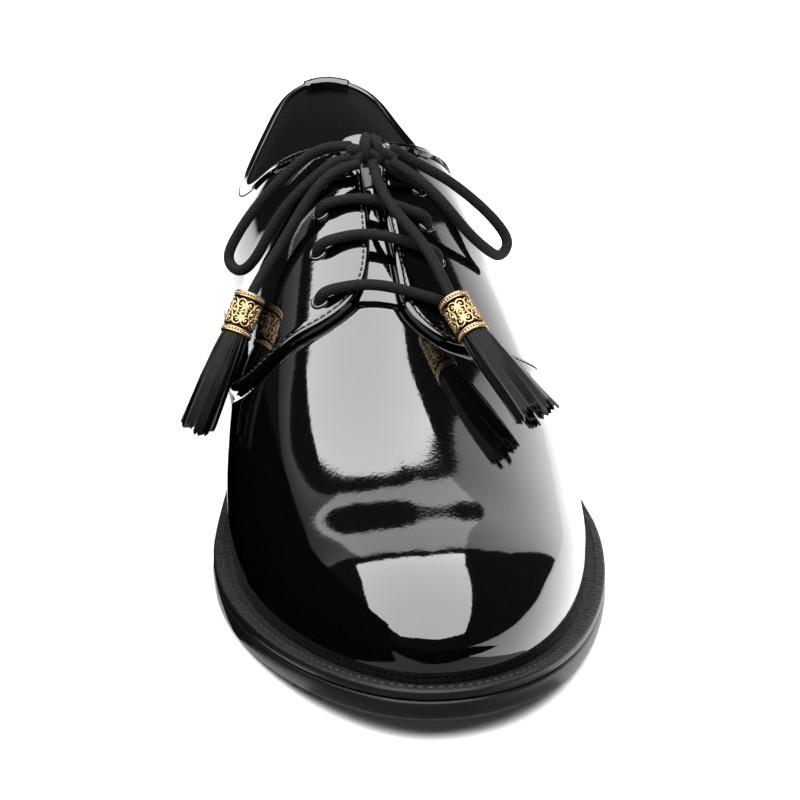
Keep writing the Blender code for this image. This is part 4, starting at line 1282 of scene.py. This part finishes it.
# bow: the routes of loops and ends, as across, station and height
bowRoutes = {
    "lace_loop_medial": [
        (-0.0066, 0.1578, 0.1066), (-0.0135, 0.1620, 0.1046), (-0.0228, 0.1640, 0.0975),
        (-0.0314, 0.1645, 0.0877), (-0.0376, 0.1645, 0.0781), (-0.0393, 0.1630, 0.0725),
        (-0.0373, 0.1598, 0.0708), (-0.0339, 0.1565, 0.0736), (-0.0306, 0.1550, 0.0796),
        (-0.0247, 0.1552, 0.0899), (-0.0168, 0.1560, 0.0981), (-0.0099, 0.1562, 0.1029),
        (-0.0064, 0.1554, 0.1042)],
    "lace_loop_lateral": [
        (0.0048, 0.1582, 0.1058), (0.0114, 0.1585, 0.1015), (0.0208, 0.1600, 0.0955),
        (0.0291, 0.1605, 0.0886), (0.0352, 0.1605, 0.0821), (0.0377, 0.1590, 0.0771),
        (0.0357, 0.1555, 0.0751), (0.0317, 0.1510, 0.0776), (0.0235, 0.1458, 0.0866),
        (0.0168, 0.1470, 0.0946), (0.0100, 0.1498, 0.1003), (0.0045, 0.1535, 0.1032)],
    "lace_end_medial": [
        (-0.0046, 0.1522, 0.1033), (-0.0111, 0.1507, 0.1017), (-0.0190, 0.1472, 0.0949),
        (-0.0270, 0.1430, 0.0831), (-0.0322, 0.1401, 0.0759), (-0.0355, 0.1370, 0.0713)],
    "lace_end_lateral": [
        (-0.0010, 0.1524, 0.1036), (0.0019, 0.1404, 0.0966), (0.0082, 0.1316, 0.0901),
        (0.0131, 0.1233, 0.0838), (0.0153, 0.1178, 0.0797), (0.0168, 0.1140, 0.0769)]}
bowPaths = {name: throughPoints(route) for name, route in bowRoutes.items()}
bow = {}
for name, path in bowPaths.items():
    bow[name] = settle(cordTube(name + "_cord", path, laceRadius), finishes["lace"], "lace_cord", name)

# knot: turns of the cord round the neck of the bow
knotSettings = {"place": (-0.0008, 0.1564, 0.1061), "slope": 27, "start": -0.35, "past": 0.2, "points": 40,
                "climb": 0.0010, "turnShare": 0.94, "strandShare": 0.95, "strandSink": 0.0012}
knotTurns = [
    {"offset": -0.0012, "reach": 0.0034, "tall": 0.0030, "tilt": 10},
    {"offset": 0.0014, "reach": 0.0030, "tall": 0.0027, "tilt": -14}]
knotRoutes = {
    "knotNeck": {"share": 1.1, "route": [
        (-0.0075, 0.1572, 0.1056), (-0.0040, 0.1566, 0.1058), (0.0, 0.1562, 0.1056),
        (0.0035, 0.1556, 0.1046), (0.0058, 0.1552, 0.1032)]},
    "knotDrop": {"share": 0.95, "route": [
        (-0.0052, 0.1530, 0.1036), (-0.0036, 0.1536, 0.1052), (-0.0008, 0.1533, 0.1058),
        (0.0006, 0.1526, 0.1045), (-0.0008, 0.1524, 0.1034)]}}
# strands from the last eyelets into the knot: step along, share of the way across and lift
strandRows = [(0.0, 0.93, laceSettings["under"]), (0.0, 1.0, laceSettings["rimLift"]), (0.0, 0.97, 0.0014),
              (-0.0006, 0.80, 0.0026), (-0.0012, 0.45, 0.0042)]
knotParts = []
slope = math.radians(knotSettings["slope"])
knotPlace = np.array(knotSettings["place"])
knotUp = np.array([0, -math.sin(slope), math.cos(slope)])
knotBack = np.array([0, math.cos(slope), math.sin(slope)])
knotAcross = np.array([1.0, 0, 0])
knotEnd = 2 * math.pi + knotSettings["past"]
for turn in knotTurns:
    angles = np.linspace(knotSettings["start"], knotEnd, knotSettings["points"])[:, None]
    tilt = math.radians(turn["tilt"])
    lean = knotBack * math.cos(tilt) + knotAcross * math.sin(tilt)
    across = turn["offset"] + knotSettings["climb"] * (angles / math.pi - 1)
    path = (knotPlace + knotAcross * across
            + turn["reach"] * np.cos(angles) * lean + turn["tall"] * np.sin(angles) * knotUp)
    knotParts.append(cordTube("knotTurn", path, laceRadius * knotSettings["turnShare"]))
for name, part in knotRoutes.items():
    knotParts.append(cordTube(name, throughPoints(part["route"]), laceRadius * part["share"]))
for side, column in eyeletColumns:
    along, across = eyeletRows[column][3], side * eyeletRows["across"][3]
    strand = [onLeather(along + step, share * across, lift) for step, share, lift in strandRows]
    strand.append(knotPlace - knotSettings["strandSink"] * knotUp)
    knotParts.append(cordTube("knotStrand", throughPoints(strand), laceRadius * knotSettings["strandShare"]))
settle(joinAs("bow_knot", knotParts), finishes["lace"], "lace_cord", "lace_knot")
print("lace done")

# ferrules: pierced gold tubes with rims, scrolls and beads, each over a dark core
ferruleSettings = {"radius": 0.0043, "wire": 0.00031, "rim": 0.00040, "repeats": 5, "bead": 0.00046,
                   "rings": ((0.03, "rim"), (0.115, "wire"), (0.885, "wire"), (0.97, "rim")),
                   "ringPoints": 49, "ringSides": 8, "wireSides": 6, "merge": 0.000001,
                   "scrollStart": 0.11, "scrollShare": 0.78, "edgeBeads": 30, "edgeRises": (0.072, 0.928),
                   "coreStart": 0.06, "coreEnd": 0.96, "coreIn": 1.7, "corePoints": 12, "coreSides": 24,
                   "coreSmooth": 40, "sideways": (0.2, -1.0, 0.3)}
scrollSettings = {"low": 0.27, "high": 0.73, "size": 0.20, "eye": 0.25, "turns": 1.5, "points": 26,
                  "leafPoints": 14, "hands": ((0.55, 1), (1.45, -1))}
# leaf and stem of each repeat: middle and reach in repeats, start and span in lengths
leafRows = [(0.5, 0.16, 0.30, 0.40), (0.0, 0.13, 0.16, 0.68)]
# beads in each repeat: turn in repeats, rise in lengths and size
beadRows = [(0.5, 0.5, 1.6), (0.0, 0.5, 1.3), (0.275, 0.32, 1.0), (0.725, 0.32, 1.0), (0.275, 0.68, 1.0),
            (0.725, 0.68, 1.0)]
ferrulePlaces = {
    "medial": {"top": (-0.0355, 0.1370, 0.0713), "foot": (-0.0402, 0.1314, 0.0620),
               "tips": (-0.0512, 0.1281, 0.0370), "spread": (0.10, 1.00, 0.00)},
    "lateral": {"top": (0.0168, 0.1140, 0.0769), "foot": (0.0216, 0.1050, 0.0698),
                "tips": (0.0362, 0.0895, 0.0535), "spread": (0.58, 0.77, -0.21)}}


# a scroll unrolled on the tube: a spiral round a centre, turned one way or the other
def spiral(centreTurn, centreRise, size, startAngle, hand):
    s = scrollSettings
    t = np.linspace(0, 1, s["points"])
    angle = startAngle + hand * 2 * math.pi * s["turns"] * t
    radius = size + (size * s["eye"] - size) * t
    return np.stack([centreTurn + radius * np.cos(angle), centreRise + radius * np.sin(angle)], -1)


# four scrolls, with a leaf between them and a stem at each side
def scrollLines(repeatWidth, length):
    s = scrollSettings
    half = repeatWidth / 2
    lines = []
    for rise, up in ((s["low"], 1), (s["high"], -1)):
        for share, hand in s["hands"]:
            lines.append(spiral(half * share, rise * length, s["size"] * length, up * math.pi / 2, up * hand))
    leaf = np.linspace(0, 1, s["leafPoints"])
    for hand in (-1, 1):
        for centre, reach, start, span in leafRows:
            turn = centre * repeatWidth + hand * reach * repeatWidth * np.sin(math.pi * leaf)
            lines.append(np.stack([turn, length * (start + span * leaf)], -1))
    return lines


def wireArrays(path, radius, sides):
    way, aside, other = carriedFrames(path)
    angle = np.linspace(0, 2 * math.pi, sides, endpoint=False)
    ring = np.cos(angle)[None, :, None] * aside[:, None, :] + np.sin(angle)[None, :, None] * other[:, None, :]
    corners = (path[:, None, :] + radius * ring).reshape(-1, 3)
    faces = []
    for k in range(len(path) - 1):
        for j in range(sides):
            n = (j + 1) % sides
            faces.append((k * sides + j, k * sides + n, (k + 1) * sides + n, (k + 1) * sides + j))
    faces.append(tuple(range(sides))[::-1])
    faces.append(tuple((len(path) - 1) * sides + j for j in range(sides)))
    return corners, faces


def wireMesh(name, wires):
    corners, faces = [], []
    for path, radius, sides in wires:
        newCorners, newFaces = wireArrays(path, radius, sides)
        start = sum(len(part) for part in corners)
        faces += [tuple(corner + start for corner in face) for face in newFaces]
        corners.append(newCorners)
    return weld(newPiece(name, np.concatenate(corners), faces), ferruleSettings["merge"])


def ferruleAxes(spots):
    top, foot = np.array(spots["top"]), np.array(spots["foot"])
    down = unit(foot - top)
    aside = unit(np.cross(down, ferruleSettings["sideways"]))
    return top, foot, down, aside, np.cross(down, aside)


def makeFerrule(name, spots):
    s = ferruleSettings
    top, foot, down, aside, other = ferruleAxes(spots)
    length = np.linalg.norm(foot - top)
    radius = s["radius"] - s["wire"]

    def wrap(line):
        angle = line[:, :1] / s["radius"]
        return top + down * line[:, 1:2] + radius * (np.cos(angle) * aside + np.sin(angle) * other)

    wires = []
    around = 2 * math.pi * s["radius"]
    full = np.linspace(0, around, s["ringPoints"])
    for rise, thick in s["rings"]:
        wires.append((wrap(np.stack([full, 0 * full + rise * length], -1)), s[thick], s["ringSides"]))
    repeatWidth = around / s["repeats"]
    beadTurns = [k / s["edgeBeads"] * around for k in range(s["edgeBeads"])]
    beadMarks = [(turn, rise, 1.0) for rise in s["edgeRises"] for turn in beadTurns]
    for repeat in range(s["repeats"]):
        for line in scrollLines(repeatWidth, length * s["scrollShare"]):
            moved = line + np.array([repeat * repeatWidth, length * s["scrollStart"]])
            wires.append((wrap(moved), s["wire"], s["wireSides"]))
        beadMarks += [((repeat + turn) * repeatWidth, rise, size) for turn, rise, size in beadRows]
    tube = wireMesh("ferrule_tube_" + name, wires)
    beadSpots = wrap(np.array([(turn, rise * length) for turn, rise, size in beadMarks]))
    beadAxes = [np.eye(3) * s["bead"] * size for turn, rise, size in beadMarks]
    beads = scatter("ferruleBeads", stitchTemplate(), beadSpots, beadAxes)
    tube = joinAs("ferrule_tube_" + name, [tube, beads])
    settle(tube, finishes["gold"], "pale_gold", "ferrule_" + name)
    coreMarks = np.linspace(s["coreStart"], s["coreEnd"], s["corePoints"])[:, None] * length
    coreRadius = radius - s["coreIn"] * s["wire"]
    core = cordTube("ferrule_core_" + name, top + down * coreMarks, coreRadius, s["coreSides"])
    settle(core, finishes["fringe"], "fringe_leather", angle=s["coreSmooth"])
    return tube, core


# tassels: cut strips in two rings, each with a notched end
tasselSettings = {"length": 0.0275, "lengthVary": 0.12, "outer": 12, "inner": 7, "innerShare": 0.45,
                  "width": 0.0029, "widthVary": 0.3, "thick": 0.00065, "notch": 0.0010, "curl": 0.0016,
                  "sway": 0.0018, "tucked": 0.0026, "bendStart": -0.001, "bendSpan": 0.008,
                  "rows": 16, "columns": 4, "smooth": 40, "seed": 7}
tasselRows = columns("distance halfWidth halfDepth", [
    (-0.0030, 0.0030, 0.0030), (0.0000, 0.0031, 0.0031), (0.0040, 0.0040, 0.0036),
    (0.0130, 0.0060, 0.0040), (0.0275, 0.0084, 0.0043)])
chance = np.random.default_rng(tasselSettings["seed"])


def makeTassel(name, spots):
    s = tasselSettings
    top, foot, down, aside, other = ferruleAxes(spots)
    fall = unit(np.array(spots["tips"]) - foot)
    spread = np.array(spots["spread"])
    strips = []
    for ringShare, count in ((1.0, s["outer"]), (s["innerShare"], s["inner"])):
        for k in range(count):
            angle = 2 * math.pi * (k + 0.5 * chance.random()) / count
            length = s["length"] * (1 + s["lengthVary"] * (chance.random() - 0.5))
            curl = s["curl"] * (chance.random() - 0.5)
            sway = s["sway"] * (chance.random() - 0.5)
            width = s["width"] * (1 + s["widthVary"] * (chance.random() - 0.5))
            phase = int(chance.integers(0, 2))

            def form(first, second):
                teeth = s["notch"] * ((np.rint(second * s["columns"]).astype(int) + phase) % 2)
                distance = -s["tucked"] + (length + s["tucked"]) * first - teeth * (first > 0.999)
                past = ease((distance - s["bendStart"]) / s["bendSpan"])[:, None]
                way = unit(down * (1 - past) + fall * past)
                wide = unit(spread - way * (way @ spread)[:, None])
                deep = np.cross(way, wide)
                bend = np.clip(distance / length, 0, 1)[:, None]
                halfWidth = np.interp(distance, tasselRows["distance"], tasselRows["halfWidth"])[:, None]
                halfDepth = np.interp(distance, tasselRows["distance"], tasselRows["halfDepth"])[:, None]
                centre = (foot + down * np.minimum(distance, 0.0)[:, None]
                          + fall * np.maximum(distance, 0.0)[:, None])
                ring = ringShare * (halfWidth * math.cos(angle) * wide + halfDepth * math.sin(angle) * deep)
                tangent = unit(-halfWidth * math.sin(angle) * wide + halfDepth * math.cos(angle) * deep)
                radial = unit(np.cross(tangent, way))
                side = (2 * second - 1)[:, None] * width / 2
                return (centre + ring + tangent * (side + sway * bend ** 2)
                        + radial * curl * bend ** 2 * np.sin(3 * bend + angle))

            strips.append(layGrid("strip", s["rows"], s["columns"], form))
    tassel = joinAs("tassel_fringe_" + name, strips)
    tassel.data.materials.append(finishes["fringe"])
    tassel.data.materials.append(finishes["cut"])
    shape(tassel, "SOLIDIFY", thickness=s["thick"], offset=0.0, material_offset_rim=1)
    return settle(tassel, finishes["fringe"], "fringe_leather", "tassel_" + name, angle=s["smooth"])


lacePieces = {}
for name, spots in ferrulePlaces.items():
    tube, core = makeFerrule(name, spots)
    lacePieces[name] = [tube, core, makeTassel(name, spots)]
for name, path in bowPaths.items():
    place = path - middle
    isEnd = "end" in name
    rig.cord(bow[name], exit=tuple(place[0]), length=round(pathLength(path), 4),
            diameter=laceSettings["diameter"], far_end="fitting" if isEnd else "object",
            stiffness="limp", lay="hanging" if isEnd else "loose", path=place.tolist(),
            with_pieces=lacePieces[name.split("_")[-1]] if isEnd else [])
print("ferrules and tassels done")

# floor, one soft light overhead, screens and dark cards that show only in reflections, and the camera
stageSettings = {"floor": 12.0, "ambient": 0.03, "size": (5.0, 5.0), "place": (0.0, -0.10, 2.5), "power": 400,
                 "screenCentre": (-0.01, -0.09, 0.045), "screenReach": 1.5,
                 "screenColumns": 60, "screenRows": 8}
bandTables = {
    "innerBand": {"glow": (0.2, 0.7), "rows": columns("turn low high", [(-54, 14, 21), (-44, 18, 41)])},
    "backBand": {"glow": (2.7, 2.7), "rows": columns("turn low high", [
        (-44, 18, 41), (-40, 35, 45), (-33, 43.5, 50), (-20, 50, 56), (-8, 52.3, 57.5), (4, 51.5, 57.5),
        (17, 46.8, 56.5), (29, 41, 50), (33, 36, 47)])},
    "sideBand": {"glow": (2.2, 1.25), "rows": columns("turn low high", [
        (33, -2, 47), (42, -2, 40), (49, -2, 28)])},
    "horizonBand": {"glow": (2.4, 1.6), "rows": columns("turn low high", [(-5, -2, 8), (33, -2, 13)])}}
cardTables = {
    "overheadCard": {"glow": 7.9, "corners": [
        (-1.13, 0.72, 1.05), (-0.81, 0.58, 1.05), (-0.52, 0.50, 1.05), (-0.30, 0.46, 1.05),
        (0.07, 0.45, 1.05), (0.35, 0.55, 1.05), (0.49, 0.60, 1.05), (0.51, 0.34, 1.05),
        (0.95, -0.45, 1.05), (1.60, -1.70, 1.05), (0.45, -2.40, 1.05), (-2.90, -2.00, 1.05),
        (-2.60, -0.10, 1.05), (-1.40, 0.42, 1.05)]},
    "toeCard": {"glow": 0.5, "corners": [
        (-0.13, -0.12, 0.0004), (0.05, -0.12, 0.0004), (0.05, -0.19, 0.0004), (-0.13, -0.19, 0.0004)]},
    "frontCard": {"glow": 0.0, "corners": [
        (-5.0, -0.186, 0.0006), (0.055, -0.186, 0.0006), (0.10, -0.155, 0.0006), (0.60, -0.60, 0.0006),
        (5.0, -5.5, 0.0006), (-5.0, -5.5, 0.0006)]},
    "innerCard": {"glow": 0.0, "corners": [
        (-0.050, -0.16, 0.0006), (-0.050, 0.03, 0.0006), (-0.10, 0.03, 0.065), (-0.10, -0.16, 0.065)]},
    "innerBackCard": {"glow": 0.0, "corners": [
        (-0.050, 0.03, 0.0006), (-0.050, 0.115, 0.0006), (-0.10, 0.115, 0.045), (-0.10, 0.03, 0.045)]},
    "innerTopCard": {"glow": 0.0, "corners": [
        (-0.10, -0.16, 0.065), (-0.10, 0.03, 0.065), (-0.30, 0.03, 0.065), (-0.30, -0.16, 0.065)]}}
bpy.ops.mesh.primitive_plane_add(size=stageSettings["floor"])
floor = bpy.context.object
floor.name = "floor"
floor.data.materials.append(newFinish("paleFloor", (0.93, 0.93, 0.93), 0.8))
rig.stage(floor)


# gives a screen its glow, from its foot to its head, and hides it from all but reflections
def lightUp(screen, low, high):
    glow = bpy.data.materials.new(screen.name + "Glow")
    glow.use_nodes = True
    tree = glow.node_tree
    tree.nodes.remove(tree.nodes["Principled BSDF"])
    light = tree.nodes.new("ShaderNodeEmission")
    split = tree.nodes.new("ShaderNodeSeparateXYZ")
    tree.links.new(tree.nodes.new("ShaderNodeTexCoord").outputs["UV"], split.inputs[0])
    fade = tree.nodes.new("ShaderNodeMapRange")
    fade.inputs["To Min"].default_value = low
    fade.inputs["To Max"].default_value = high
    tree.links.new(split.outputs["Y"], fade.inputs["Value"])
    tree.links.new(fade.outputs["Result"], light.inputs["Strength"])
    tree.links.new(light.outputs[0], tree.nodes["Material Output"].inputs["Surface"])
    screen.data.materials.append(glow)
    screen.visible_camera = screen.visible_diffuse = False
    screen.visible_shadow = screen.visible_transmission = False
    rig.stage(screen)


# a screen curved round the shoe, its foot and head given as angles above the floor
def bandForm(rows):
    def form(first, second):
        turn = np.radians(rows["turn"][0] + (rows["turn"][-1] - rows["turn"][0]) * first)
        low = np.interp(turn, np.radians(rows["turn"]), np.radians(rows["low"]))
        high = np.interp(turn, np.radians(rows["turn"]), np.radians(rows["high"]))
        rise = low + (high - low) * second
        way = np.stack([np.cos(rise) * np.sin(turn), np.cos(rise) * np.cos(turn), np.sin(rise)], -1)
        return np.array(stageSettings["screenCentre"]) + stageSettings["screenReach"] * way + middle

    return form


for name, band in bandTables.items():
    screen = layGrid(name, stageSettings["screenColumns"], stageSettings["screenRows"], bandForm(band["rows"]))
    lightUp(screen, *band["glow"])
for name, card in cardTables.items():
    corners = np.array(card["corners"]) + middle
    lightUp(newPiece(name, corners, [tuple(range(len(corners)))]), card["glow"], card["glow"])
overData = bpy.data.lights.new("overheadBox", "AREA")
overData.shape = "RECTANGLE"
overData.size, overData.size_y = stageSettings["size"]
overData.energy = stageSettings["power"]
overhead = bpy.data.objects.new("overheadBox", overData)
overhead.location = stageSettings["place"]
overhead.visible_camera = overhead.visible_glossy = False
bpy.context.scene.collection.objects.link(overhead)
world = bpy.data.worlds.new("studio")
bpy.context.scene.world = world
world.use_nodes = True
worldNodes = world.node_tree.nodes
lightPath = worldNodes.new("ShaderNodeLightPath")
brightness = sums(world.node_tree, "MAXIMUM", lightPath.outputs["Is Camera Ray"], stageSettings["ambient"])
world.node_tree.links.new(brightness, worldNodes["Background"].inputs["Strength"])
worldNodes["Background"].inputs["Color"].default_value = (1, 1, 1, 1)

cameraSettings = {"place": (-0.1393, -1.1590, 0.4799), "aim": (-0.0113, -0.1098, 0.0771), "roll": 0.924,
                  "lens": 202.2, "sensor": 36.0}
cameraData = bpy.data.cameras.new("photoCamera")
cameraData.lens = cameraSettings["lens"]
cameraData.sensor_width = cameraSettings["sensor"]
camera = bpy.data.objects.new("photoCamera", cameraData)
camera.location = cameraSettings["place"]
gaze = (Vector(cameraSettings["aim"]) - camera.location).to_track_quat("-Z", "Y")
camera.rotation_euler = (gaze @ Quaternion((0, 0, 1), math.radians(cameraSettings["roll"]))).to_euler()
bpy.context.scene.collection.objects.link(camera)
bpy.context.scene.camera = camera
bpy.context.scene.view_settings.view_transform = "Standard"
print("stage and camera done")

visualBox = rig.bounds()
with open("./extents.json", "w") as sizeFile:
    json.dump({"cad": [list(map(float, corner)) for corner in cadBox],
               "visual": [list(map(float, corner)) for corner in visualBox]}, sizeFile)
